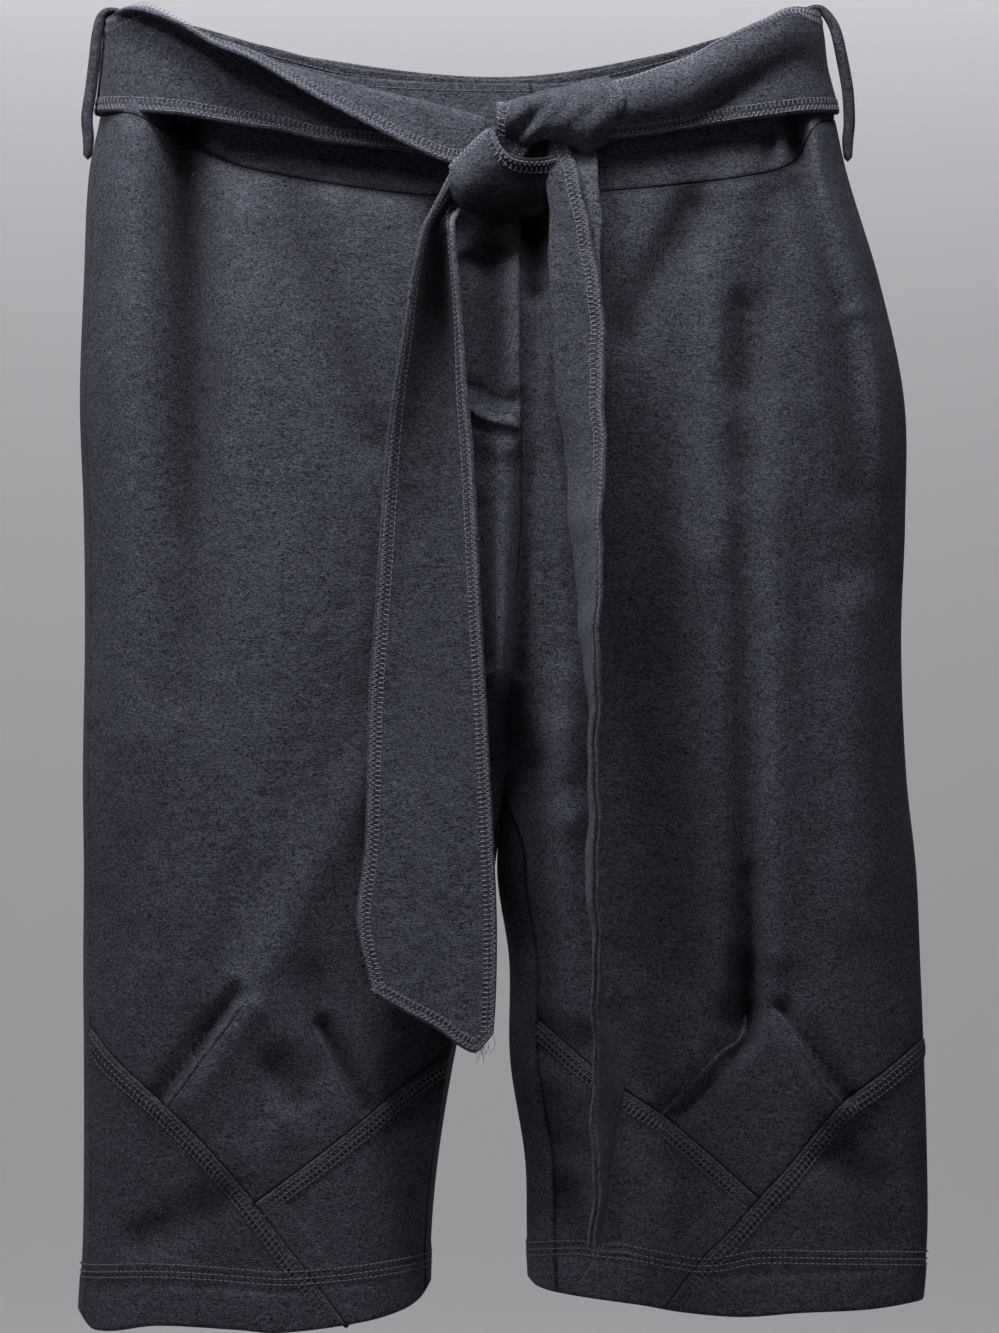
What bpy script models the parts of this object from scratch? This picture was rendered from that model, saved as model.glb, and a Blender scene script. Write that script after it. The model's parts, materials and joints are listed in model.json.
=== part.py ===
"""Knee-length wool shorts with a tie belt, hanging by the two sides of the waist.

Every table and size is in millimetres. The front is seen along +Y, so -Y is towards the viewer,
+X runs to the viewer's right and +Z is up. Left and right are the viewer's. The origin lies midway
between the two belt loops, level with the top of the waistband at the sides.

The cloth is one smooth skin round the body and the two legs, cut along the seams of the pattern
into panels. A place on the skin is a half of the garment, a position round that half and a height.
Position 0 is the outer edge, 0 to 1 runs over the front to the inner edge, and 1 to 2 comes back
over the back.
"""

import math
from bisect import bisect_right
from collections import namedtuple

import bmesh
import bpy
from mathutils import Vector

MM = 0.001

# Cloth
CLOTH = 2.0
SEAM_GAP = 0.3
BELT_GAP = 2.4
LOOP_WIDTH = 11.0
LOOP_THICKNESS = 4.0

# Wool colour and finish
WOOL_COLOUR = (0.047, 0.049, 0.064, 1.0)
WOOL_ROUGHNESS = 0.95

# Crotch: where the four panels meet, and where the front and back rise start to turn in to it
CROTCH_Z = -381.0
CROTCH_Y = 4.0
FRONT_RISE_TURN = -300.0
BACK_RISE_TURN = -285.0

# Drop below the crotch over which the inseams move round on to the front
INSEAM_SETTLE = 45.0

# Share of a half's front or back that each rounded edge takes, and the inner edge's radius
TURN = 0.28
INNER_RADIUS = 48.0

# Heights below the crotch at which front and back share a row of points, so that their inseams match
LEG_LEVELS = (-390.0, -401.0, -413.0, -426.0, -450.0, -475.0)

# Distance in from the outline at which a fold reaches its full height
FOLD_FADE = 18.0

# Fly: the left front laps over the right one down to FLY_END
FLY_LIFT = 2.7
FLY_FLAT = 15.0
FLY_RAMP = 24.0
FLY_END = -206.0
FLY_SETTLE = 24.0
FLY_UNDERLAP = 8.0
UNDERLAP_SETTLE = 12.0
BAND_OVERLAP = 5.0

# Outline of the garment at each height, and how far its front and back faces stand from the middle
Body = namedtuple(
    "Body", "z left_x left_in right_in right_x left_front left_back right_front right_back radius"
)
BODY = (
    Body(0, -179.0, 26.5, 26.5, 173.5, -21, 22, -21, 22, 40),
    Body(-24, -181.0, 26.5, 26.5, 176.0, -24, 25, -24, 25, 42),
    Body(-50, -184.0, 26.5, 26.5, 183.0, -27, 28, -27, 28, 48),
    Body(-81, -190.0, 26.5, 26.5, 190.0, -31, 32, -31, 32, 56),
    Body(-134, -192.5, 26.5, 26.5, 206.0, -37, 38, -37, 38, 68),
    Body(-194, -194.5, 26.5, 26.5, 218.5, -41, 43, -41, 43, 76),
    Body(-254, -192.5, 26.5, 26.5, 219.0, -43, 46, -43, 45, 80),
    Body(-314, -192.0, 22.0, 22.0, 217.0, -43, 46, -41, 43, 78),
    Body(-381, -193.0, 19.0, 19.0, 219.5, -41, 43, -37, 38, 72),
    Body(-429, -192.5, 8.0, 14.5, 224.5, -39, 40, -33, 34, 68),
    Body(-474, -192.8, 0.0, 20.5, 226.5, -37, 37, -29, 30, 64),
    Body(-524, -192.5, -7.0, 21.0, 228.5, -36, 35, -26, 27, 62),
    Body(-574, -192.5, -15.0, 28.5, 230.0, -35, 34, -24, 25, 60),
    Body(-614, -193.0, -18.5, 29.5, 230.0, -34, 33, -23, 24, 60),
    Body(-661, -195.5, -19.5, 32.0, 226.0, -34, 33, -23, 24, 60),
)

# Seams and edges as the height at each x
Line = namedtuple("Line", "x z")
FRONT_TOP = (
    Line(-180, -2),
    Line(-160, -6),
    Line(-109, -22),
    Line(-60, -33),
    Line(-20, -36),
    Line(26, -37),
    Line(60, -36),
    Line(100, -29),
    Line(140, -16),
    Line(175, -2),
)
BACK_TOP = (
    Line(-180, -2),
    Line(-143, -6),
    Line(-104, -14),
    Line(-64, -24),
    Line(-24, -29),
    Line(20, -31),
    Line(56, -28),
    Line(96, -19),
    Line(136, -8),
    Line(175, -2),
)
FRONT_WAIST = (
    Line(-185, -51),
    Line(-168, -52),
    Line(-150, -60),
    Line(-130, -71),
    Line(-109, -79),
    Line(-34, -91.5),
    Line(20, -94),
    Line(67, -91),
    Line(120, -86),
    Line(148, -81.5),
    Line(162, -73),
    Line(174, -62),
    Line(184, -55),
)
BACK_WAIST = (
    Line(-185, -51),
    Line(-140, -62),
    Line(-80, -80),
    Line(20, -88),
    Line(110, -76),
    Line(160, -60),
    Line(184, -53),
)
LEFT_HEM = (
    Line(-196, -648),
    Line(-187, -658),
    Line(-154, -655),
    Line(-114, -657),
    Line(-94, -658.5),
    Line(-54, -653.5),
    Line(-34, -648.5),
    Line(-24, -643),
    Line(-18, -634),
)
RIGHT_HEM = (
    Line(29, -632),
    Line(34, -637),
    Line(46, -640),
    Line(86, -645.5),
    Line(106, -649),
    Line(136, -651.5),
    Line(166, -649.5),
    Line(201, -648),
    Line(228, -644.5),
)
LEFT_LONG_SEAM = (
    Line(-188, -508),
    Line(-177, -521.5),
    Line(-150.5, -545.5),
    Line(-129, -567),
    Line(-106, -594),
    Line(-90, -615),
    Line(-79, -629),
    Line(-60.5, -655),
)
LEFT_SHORT_SEAM = (
    Line(-106, -594),
    Line(-73, -569.5),
    Line(-52.5, -553),
    Line(-34, -537.5),
    Line(-16.5, -525.5),
    Line(-5, -520),
)
RIGHT_LONG_SEAM = (
    Line(98, -647),
    Line(116, -623),
    Line(128.5, -611),
    Line(145, -592.5),
    Line(159, -577.5),
    Line(173, -560.5),
    Line(186.5, -545),
    Line(205, -531.5),
    Line(228, -513),
)
RIGHT_SHORT_SEAM = (
    Line(20, -493),
    Line(37.5, -505.5),
    Line(59.5, -524.5),
    Line(76.5, -537.5),
    Line(96.5, -550.5),
    Line(121, -571),
    Line(145, -592.5),
)

# The point of each hem panel's V, and where its long seam runs out into the hem
LEFT_V_X, LEFT_RUNOUT_X = -106.0, -60.5
RIGHT_V_X, RIGHT_RUNOUT_X = 145.0, 98.0
TIP_HEIGHT = 1.6

# Share of a panel's width, next to the side seam, where its columns of points are close together
SIDE_SHARE = 0.2

# Soft folds, each along a line, from its height at the top to its height at the bottom
Fold = namedtuple("Fold", "face top_x top_z low_x low_z width top_height low_height")
FOLDS = (
    # Valleys beside the rolls at the two sides
    Fold("front", -151, -20, -150, -120, 12, -9, -8),
    Fold("front", -150, -120, -144, -310, 14, -6, 0),
    Fold("front", 160, -10, 163, -100, 11, -9, -7),
    Fold("front", 165, -110, 186, -270, 14, -6, 0),
    # Broad rounds down the middle of each front
    Fold("front", -100, -160, -104, -500, 34, 3, 4),
    Fold("front", 136, -250, 134, -485, 15, 2.5, 4.5),
    Fold("front", 112, -95, 96, -330, 16, -2.5, -3),
    Fold("front", 196, -300, 192, -450, 16, 2.5, 0),
    # Folds that run down to the crotch
    Fold("front", 33, -215, 33, -370, 7, -3, -7),
    Fold("front", 56, -240, 50, -400, 12, 2, 3.5),
    Fold("front", -12, -250, 4, -390, 12, -1, -4),
    # Dimple over the left knee dart, and the pinch over the right one
    Fold("front", -76, -485, -72, -525, 12, -3.5, -3),
    Fold("front", 137, -478, 128, -516, 8, -4, -3),
    Fold("front", 190, -560, 210, -610, 14, -2.5, -1),
    Fold("front", -150, -560, -120, -625, 16, -1.5, -2.5),
    # Back: the same pull at the sides, hollows under the seat and folds above the knees
    Fold("back", -148, -20, -150, -200, 14, -8, -4),
    Fold("back", -150, -200, -140, -330, 15, -4, 0),
    Fold("back", 158, -15, 170, -210, 14, -8, -4),
    Fold("back", 170, -210, 184, -330, 15, -4, 0),
    Fold("back", -60, -330, -130, -400, 16, -4, -2),
    Fold("back", 74, -325, 150, -402, 17, -4.5, -2),
    Fold("back", -92, -430, -96, -620, 26, 3, 2),
    Fold("back", 118, -420, 124, -610, 24, 3.5, 2),
    Fold("back", 20, -120, 20, -250, 16, -3, -4),
    Fold("back", -40, -470, -52, -590, 12, -2.5, -3),
    Fold("back", 186, -450, 178, -560, 14, -3, -1.5),
)

# Belt across the front. The left stretch starts at its lower edge, goes up and folds down in front.
# The right stretch starts at its upper edge, goes down and folds up behind.
Belt = namedtuple("Belt", "x edge_z fold_at turn width out bow")
LEFT_BELT = (
    Belt(-181, -51.0, 42, 2, 52, 1.8, 0),
    Belt(-164, -51.0, 42, 10, 53, 1.8, 0),
    Belt(-143, -54.0, 40, 50, 54, 1.8, 1),
    Belt(-127, -57.0, 37, 100, 56, 1.8, 1.5),
    Belt(-108, -59.5, 34, 140, 58, 1.8, 1.5),
    Belt(-92, -62.5, 30, 165, 58, 1.8, 1.5),
    Belt(-74, -66.0, 28, 174, 58, 1.8, 1),
    Belt(-47, -69.5, 26, 178, 58, 1.8, 0.5),
    Belt(-27, -71.5, 24, 180, 58, 2.2, 0),
    Belt(-7, -76.0, 24, 180, 57, 3.4, 0),
    Belt(9, -79.0, 23, 180, 54, 4.9, 0),
)
RIGHT_BELT = (
    Belt(46, -45.5, 6, 180, 40, 1.8, 0),
    Belt(58, -47.5, 8, 180, 46, 1.8, 0),
    Belt(66, -48.0, 11, 180, 50, 1.8, 0),
    Belt(72, -47.5, 15, 180, 56, 1.8, 0.5),
    Belt(81, -45.0, 16, 180, 57, 1.8, 1.5),
    Belt(97, -34.5, 24, 179, 58, 1.8, 4),
    Belt(110, -26.0, 31, 176, 58, 1.8, 5),
    Belt(123, -18.0, 37, 168, 58, 1.8, 5.5),
    Belt(136, -11.0, 41, 140, 57, 1.8, 5),
    Belt(148, -5.5, 43, 90, 55, 1.8, 4),
    Belt(163, 0.5, 43, 30, 54, 1.8, 2),
    Belt(176, 1.0, 43, 2, 52, 1.8, 0),
)
BEND_LENGTH = 8.4

# Height at which the columns of points across the belt are set out
BELT_MIDDLE_Z = -30.0

# Back stretch of the belt: its lower edge at each x
BACK_BELT = (
    Line(-185, -51),
    Line(-140, -58),
    Line(-80, -74),
    Line(20, -84),
    Line(110, -70),
    Line(160, -56),
    Line(184, -51),
)
BACK_BELT_WIDTH = 54.0
BACK_BELT_SQUEEZE = 2.0
BACK_BELT_OUT = 2.2

# Knot wrap: a band over the front of the knot, from its top edge round to its lower one
Wrap = namedtuple("Wrap", "around z out left_x right_x")
KNOT = (
    Wrap(0.0, -40.0, 3.9, 12, 70),
    Wrap(0.2, -38.5, 8.0, 11, 75),
    Wrap(0.4, -43.0, 13.2, 12, 77),
    Wrap(0.6, -52.0, 16.2, 16, 76),
    Wrap(0.8, -62.5, 15.2, 27, 73),
    Wrap(1.0, -71.0, 11.0, 35, 70),
)

# Left tail: a channel that opens towards the viewer at the top and flattens further down
Tail = namedtuple("Tail", "z left_x right_x y walls")
LEFT_TAIL = (
    Tail(-57, 15, 27, -41.0, 0),
    Tail(-64, 9, 26, -41.0, 1),
    Tail(-72, -2, 28, -42.0, 3),
    Tail(-80, -8, 22, -43.5, 8),
    Tail(-94, -14, 6, -45.5, 14),
    Tail(-109, -21, -7, -47.0, 16),
    Tail(-134, -27, -5, -48.5, 15),
    Tail(-159, -31, -2.5, -50.0, 13),
    Tail(-194, -37, 0, -51.5, 10),
    Tail(-222, -40.5, 3, -52.0, 7),
    Tail(-300, -46, 7, -52.5, 3),
    Tail(-344, -49, 9.5, -52.5, 1),
    Tail(-416, -51, 13, -52.5, -1),
    Tail(-454, -55, 14.5, -52.5, -1.5),
    Tail(-490, -47, 14, -52.5, -2),
    Tail(-520, -45, 12, -52.5, -2),
)
TAIL_WALL_POWER = 2.6
LEFT_TAIL_FOOT = (
    Line(0.0, -488.5),
    Line(0.25, -498),
    Line(0.5, -506),
    Line(0.85, -518.5),
    Line(1.0, -509),
)

# Right tail: folded in half lengthwise, then turned edge-on as it hangs
Twist = namedtuple("Twist", "z x y turn width")
RIGHT_TAIL = (
    Twist(-63, 53.0, -35.8, 0, 22),
    Twist(-72, 53.0, -36.2, 0, 23.5),
    Twist(-84, 52.5, -42.0, 3, 25),
    Twist(-120, 53.5, -47.0, 6, 25.5),
    Twist(-170, 55.0, -52.5, 12, 25.5),
    Twist(-222, 57.5, -57.5, 42, 25.5),
    Twist(-274, 59.0, -61.0, 62, 25.5),
    Twist(-322, 61.0, -62.5, 78, 25.5),
    Twist(-364, 62.5, -62.5, 88, 25.5),
    Twist(-430, 62.0, -60.5, 84, 25.5),
    Twist(-484, 64.5, -57.0, 95, 25.5),
    Twist(-514, 67.0, -55.0, 104, 25.5),
    Twist(-539, 69.0, -54.0, 113, 25.5),
    Twist(-561, 67.0, -53.5, 104, 25.5),
    Twist(-614, 65.0, -53.0, 92, 24),
)
TAIL_LAYERS_APART = 4.2

# Belt loops: the middle of the strap, from inside the waistband over its top and down to its foot
Path = namedtuple("Path", "x z")
LEFT_LOOP = (
    Path(-172.3, -12),
    Path(-170.9, -4),
    Path(-172.0, 3),
    Path(-177.5, 6.3),
    Path(-183.5, 5.6),
    Path(-187.3, 0),
    Path(-188.6, -12),
    Path(-189.6, -26),
    Path(-191.4, -42),
    Path(-192.9, -56),
    Path(-191.0, -65),
    Path(-190.3, -73),
)
RIGHT_LOOP = (
    Path(167.4, -12),
    Path(166.2, -4),
    Path(167.4, 3),
    Path(172.5, 6.3),
    Path(178.5, 5.6),
    Path(183.0, 0),
    Path(185.6, -12),
    Path(188.4, -26),
    Path(192.2, -42),
    Path(194.2, -56),
    Path(191.5, -66),
    Path(190.5, -73),
)


class Curve:
    """A smooth curve through one column of a table, read at any place of its first column."""

    def __init__(self, rows, column):
        points = sorted((row[0], getattr(row, column)) for row in rows)
        self.places = [place for place, _ in points]
        self.values = [value for _, value in points]
        self.slopes = [self.slope(i) for i in range(len(points))]

    def slope(self, i):
        before = max(i - 1, 0)
        after = min(i + 1, len(self.places) - 1)
        return (self.values[after] - self.values[before]) / (self.places[after] - self.places[before])

    def __call__(self, place):
        if place <= self.places[0]:
            return self.values[0]
        if place >= self.places[-1]:
            return self.values[-1]
        i = bisect_right(self.places, place) - 1
        span = self.places[i + 1] - self.places[i]
        s = (place - self.places[i]) / span
        rise = s * s * (3 - 2 * s)
        return (
            self.values[i] * (1 - rise)
            + self.values[i + 1] * rise
            + span * s * (1 - s) * ((1 - s) * self.slopes[i] - s * self.slopes[i + 1])
        )


class Half:
    """The left or right half of the garment: its outline, its faces, its seams and its hem."""

    def __init__(self, sign, side, side_seam, inseam, v_x, runout_x, hem, long_seam, short_seam):
        self.sign = sign
        self.outer_x = Curve(BODY, side + "_x")
        self.middle_x = Curve([row for row in BODY if row.z >= CROTCH_Z], side + "_in")
        self.leg_x = Curve([row for row in BODY if row.z <= CROTCH_Z], side + "_in")
        self.flat = {face: Curve(BODY, side + "_" + face) for face in ("front", "back")}
        self.side_seam = side_seam
        self.inseam = inseam
        self.v_x = v_x
        self.runout_x = runout_x
        self.hem = Curve(hem, "z")
        self.long_seam = Curve(long_seam, "z")
        self.short_seam = Curve(short_seam, "z")

    def inner_x(self, z):
        return self.middle_x(z) if z > CROTCH_Z else self.leg_x(z)


LEFT = Half(-1, "left", 4.0, 3.0, LEFT_V_X, LEFT_RUNOUT_X, LEFT_HEM, LEFT_LONG_SEAM, LEFT_SHORT_SEAM)
RIGHT = Half(1, "right", -4.0, 14.0, RIGHT_V_X, RIGHT_RUNOUT_X, RIGHT_HEM, RIGHT_LONG_SEAM, RIGHT_SHORT_SEAM)
OUTER_RADIUS = Curve(BODY, "radius")
LINES = {
    "front_top": Curve(FRONT_TOP, "z"),
    "back_top": Curve(BACK_TOP, "z"),
    "front_waist": Curve(FRONT_WAIST, "z"),
    "back_waist": Curve(BACK_WAIST, "z"),
    "back_belt": Curve(BACK_BELT, "z"),
}

# How a panel's inner edge differs from the plain skin: how far it passes the middle, and its lift
Cut = namedtuple("Cut", "overlap lift")


def clamp(value):
    return min(max(value, 0.0), 1.0)


def ease(value):
    """0 to 1 with soft ends."""
    s = clamp(value)
    return s * s * (3 - 2 * s)


def quarter_round(q):
    """1 at an edge, falling to 0 along a quarter of a circle at q = 1."""
    return 1 - math.sqrt(max(1 - (1 - clamp(q)) ** 2, 0.0))


def flush(z):
    return 0.0


FLUSH = Cut(flush, flush)
JOINED = Cut(lambda z: SEAM_GAP / 2, flush)
FLY_OVER = Cut(flush, lambda z: FLY_LIFT * (1 - ease((FLY_END - z) / FLY_SETTLE)))
FLY_UNDER = Cut(lambda z: FLY_UNDERLAP * ease((z - FLY_END) / UNDERLAP_SETTLE), flush)
BAND_OVER = Cut(lambda z: BAND_OVERLAP, lambda z: FLY_LIFT)
BAND_UNDER = Cut(lambda z: FLY_UNDERLAP, flush)


def rise_turn(face, z):
    """How far the middle seam has turned in towards the crotch at a height, from 0 to 1."""
    start = FRONT_RISE_TURN if face == "front" else BACK_RISE_TURN
    s = clamp((start - z) / (start - CROTCH_Z))
    return 1 - math.sqrt(1 - s * s)


def fold_height(face, x, z):
    """Sum of the soft folds at a place on one face."""
    total = 0.0
    for fold in FOLDS:
        if fold.face != face:
            continue
        run_x, run_z = fold.low_x - fold.top_x, fold.low_z - fold.top_z
        s = ((x - fold.top_x) * run_x + (z - fold.top_z) * run_z) / (run_x ** 2 + run_z ** 2)
        s = clamp(s)
        away = math.hypot(x - fold.top_x - run_x * s, z - fold.top_z - run_z * s) / fold.width
        total += (fold.top_height + (fold.low_height - fold.top_height) * s) * math.exp(-away * away)
    return total


def inner_edge_x(half, z, cut):
    """x of a half's inner edge. Above the crotch the two halves stand a seam's gap apart."""
    gap = SEAM_GAP / 2 if z > CROTCH_Z - 1 else 0.0
    return half.inner_x(z) + half.sign * (gap - cut.overlap(z))


def edge_distances(half, t, z, cut):
    """How far a place lies in x from the outer and from the inner edge."""
    width = half.sign * (half.outer_x(z) - inner_edge_x(half, z, cut))
    radius = OUTER_RADIUS(z)
    if t < TURN:
        outer = radius * (1 - math.cos(math.pi / 2 * t / TURN))
    elif t > 1 - TURN:
        outer = width - INNER_RADIUS * (1 - math.cos(math.pi / 2 * (1 - t) / TURN))
    else:
        outer = radius + (width - radius - INNER_RADIUS) * (t - TURN) / (1 - 2 * TURN)
    return outer, width - outer


def turn_for(distance, radius):
    """Position of a place this far in from an edge of this radius."""
    return math.copysign(TURN * math.acos(1 - min(abs(distance) / radius, 1)) * 2 / math.pi, distance)


def face_point(half, face, t, z, cut=FLUSH, plain=False):
    """A point of the outer skin."""
    from_outer, from_inner = edge_distances(half, t, z, cut)
    x = half.outer_x(z) - half.sign * from_outer
    flat = half.flat[face](z)
    turned = rise_turn(face, z)
    leg = ease(2 * turned - 1)
    near_inner = clamp(from_inner / INNER_RADIUS)
    cleft = (1 - leg) * (1 - near_inner) ** 2 + leg * quarter_round(near_inner)
    y = flat * (1 - quarter_round(from_outer / OUTER_RADIUS(z)))
    y += (CROTCH_Y - flat) * turned * cleft
    if not plain:
        fade = ease(from_outer / FOLD_FADE) * (1 - leg * (1 - ease(from_inner / FOLD_FADE)))
        raised = fold_height(face, x, z) * fade
        raised += cut.lift(z) * (1 - ease((from_inner - FLY_FLAT) / FLY_RAMP))
        y += raised if face == "back" else -raised
    return Vector((x, y, z))


def skin_point(half, p, z, face, cut=FLUSH, plain=False):
    """A point of the outer skin at a position round the half. The face settles which side 1 is on."""
    p = p % 2 if p != 2 else 2.0
    on_front = p < 1 or (p == 1 and face == "front")
    if on_front:
        return face_point(half, "front", p, z, cut, plain)
    return face_point(half, "back", 2 - p, z, cut, plain)


def skin_normal(half, p, z, face, cut=FLUSH, plain=False):
    """The direction straight out of the skin."""
    step, drop = 0.004, 0.6
    above_crotch = z > CROTCH_Z
    low = max(z - drop, CROTCH_Z + 0.01) if above_crotch else z - drop
    high = z + drop if above_crotch else min(z + drop, CROTCH_Z)
    up = skin_point(half, p, high, face, cut, plain) - skin_point(half, p, low, face, cut, plain)
    if above_crotch and abs(p - 1) < 1e-9:
        away = Vector((0, -up.z, up.y)) if face == "front" else Vector((0, up.z, -up.y))
        return away.normalized()
    ahead, behind = p + step, p - step
    if above_crotch and face == "front":
        ahead = min(ahead, 1.0)
    if above_crotch and face == "back":
        behind = max(behind, 1.0)
    across = skin_point(half, ahead, z, face, cut, plain) - skin_point(half, behind, z, face, cut, plain)
    return across.cross(up).normalized() * -half.sign


def gap_position(half, p, z, face):
    """Half of a seam's gap as a step of position."""
    step = 0.004
    run = skin_point(half, p + step, z, face) - skin_point(half, p - step, z, face)
    return SEAM_GAP / 2 * 2 * step / run.length


def side_seam_position(half, z):
    return turn_for(half.side_seam, OUTER_RADIUS(z))


def inseam_position(half, z):
    """Below the crotch the inseam moves round on to the front by the half's own amount."""
    shift = half.inseam * ease((CROTCH_Z - z) / INSEAM_SETTLE)
    return 1 - turn_for(shift, INNER_RADIUS)


def position(half, face, share, z):
    """Position of a share of the way from the side seam to the inner edge of a front or a back."""
    seam = side_seam_position(half, z)
    inner = inseam_position(half, z)
    side_gap = gap_position(half, seam, z, "front")
    inner_gap = gap_position(half, inner, z, "front") if z <= CROTCH_Z + 1e-6 else 0.0
    if face == "front":
        start, end = seam + side_gap, inner - inner_gap
    else:
        start, end = 2 + seam - side_gap, inner + inner_gap
    return end if share == 1 else start + (end - start) * share


def seam_height(half, face, share, line, cut):
    """Height at which a share of the width crosses a seam or an edge."""
    z = line(half.inner_x(-100.0))
    for _ in range(6):
        z = line(skin_point(half, position(half, face, share, z), z, face, cut).x)
    return z


def panel_edges(half, face, share, top, bottom, cut):
    """Heights of a panel's upper and lower edge, each half a gap from the seam measured across it."""
    edges = []
    for line, way in ((top, -1), (bottom, 1)):
        z = seam_height(half, face, share, line, cut)
        x = skin_point(half, position(half, face, share, z), z, face, cut).x
        slope = line(x + 0.5) - line(x - 0.5)
        edges.append(z + way * SEAM_GAP / 2 * math.hypot(1, slope))
    return edges


def panel_grids(half, face, shares, heights, top, bottom, cut=FLUSH):
    """Outer and inner points of a panel, row by row from its top edge to its bottom one."""
    outer = [[] for _ in heights]
    inner = [[] for _ in heights]
    for share in shares:
        high, low = panel_edges(half, face, share, top, bottom, cut)
        for row, height in enumerate(heights):
            z = high + (low - high) * height
            p = position(half, face, share, z)
            point = skin_point(half, p, z, face, cut)
            outer[row].append(point)
            inner[row].append(point - skin_normal(half, p, z, face, cut) * CLOTH)
    return outer, inner


def spread(start, end, count):
    """Even values from start to end, both included."""
    return [start + (end - start) * i / count for i in range(count + 1)]


def columns_from_side(end, count):
    """Shares of the width from the side seam, close together round the side and then even."""
    return spread(0.0, SIDE_SHARE, 4) + spread(SIDE_SHARE, end, count)[1:]


def thicken(middle, thickness):
    """The two faces of a ribbon from the points of its middle surface."""
    rows, columns = len(middle), len(middle[0])
    sides = ([], [])
    for i in range(rows):
        lines = ([], [])
        for j in range(columns):
            along = middle[min(i + 1, rows - 1)][j] - middle[max(i - 1, 0)][j]
            across = middle[i][min(j + 1, columns - 1)] - middle[i][max(j - 1, 0)]
            away = along.cross(across).normalized() * (thickness / 2)
            lines[0].append(middle[i][j] + away)
            lines[1].append(middle[i][j] - away)
        sides[0].append(lines[0])
        sides[1].append(lines[1])
    return sides


def build_wall(name, collection, material, near, far):
    """A closed wall between two grids of points.

    Each face of its rim is split the same way as that of the piece across the seam, so that twisted
    rims lie parallel.
    """
    rows, columns = len(near), len(near[0])
    mesh_points = bmesh.new()
    layers = []
    for grid in (near, far):
        layers.append([[mesh_points.verts.new(point * MM) for point in row] for row in grid])
    front, back = layers
    for i in range(rows - 1):
        for j in range(columns - 1):
            corners = ((i, j), (i, j + 1), (i + 1, j + 1), (i + 1, j))
            mesh_points.faces.new([front[a][b] for a, b in corners])
            mesh_points.faces.new([back[a][b] for a, b in reversed(corners)])
    border = [(0, j) for j in range(columns - 1)]
    border += [(i, columns - 1) for i in range(rows - 1)]
    border += [(rows - 1, j) for j in range(columns - 1, 0, -1)]
    border += [(i, 0) for i in range(rows - 1, 0, -1)]
    for start, end in zip(border, border[1:] + border[:1]):
        (a, b), (c, d) = sorted((start, end))
        mesh_points.faces.new((front[a][b], front[c][d], back[c][d]))
        mesh_points.faces.new((front[a][b], back[c][d], back[a][b]))
    bmesh.ops.recalc_face_normals(mesh_points, faces=mesh_points.faces)
    mesh = bpy.data.meshes.new(name)
    mesh_points.to_mesh(mesh)
    mesh_points.free()
    mesh.shade_smooth()
    mesh.set_sharp_from_angle(angle=math.radians(50))
    mesh.materials.append(material)
    collection.objects.link(bpy.data.objects.new(name, mesh))


def wool(name):
    """Felted wool in dark charcoal."""
    material = bpy.data.materials.new(name)
    material.use_nodes = True
    shader = material.node_tree.nodes["Principled BSDF"]
    shader.inputs["Base Color"].default_value = WOOL_COLOUR
    shader.inputs["Roughness"].default_value = WOOL_ROUGHNESS
    shader.inputs["Metallic"].default_value = 0.0
    return material


def share_of_x(half, x, z):
    """Share of the front's width at which a place of this x lies."""
    low, high = 0.0, 1.0
    for _ in range(30):
        middle = (low + high) / 2
        reached = skin_point(half, position(half, "front", middle, z), z, "front", plain=True).x
        if (reached - x) * half.sign > 0:
            low = middle
        else:
            high = middle
    return (low + high) / 2


def panel_heights(half, face, top, bottom, cut, rows_to_turn, rows_in_turn, rows_below):
    """Shares of a panel's height: even down to where the rise turns in, then closer to the crotch."""
    high, low = panel_edges(half, face, 1.0, top, bottom, cut)
    turn = FRONT_RISE_TURN if face == "front" else BACK_RISE_TURN
    heights = spread(high, turn, rows_to_turn)
    for i in range(1, rows_in_turn + 1):
        heights.append(turn + (CROTCH_Z - turn) * math.sin(math.pi / 2 * i / rows_in_turn))
    heights += LEG_LEVELS
    heights += spread(LEG_LEVELS[-1], low, rows_below)[1:]
    return [(z - high) / (low - high) for z in heights]


def v_line(half):
    """Lower edge of the main front panel: the long seam outside the V's point, the short one inside."""
    return lambda x: (half.long_seam if (x - half.v_x) * half.sign > 0 else half.short_seam)(x)


def inner_foot(half):
    """Lower edge of the inner hem panel: the long seam, then the hem."""
    return lambda x: (half.long_seam if (x - half.runout_x) * half.sign > 0 else half.hem)(x)


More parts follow.
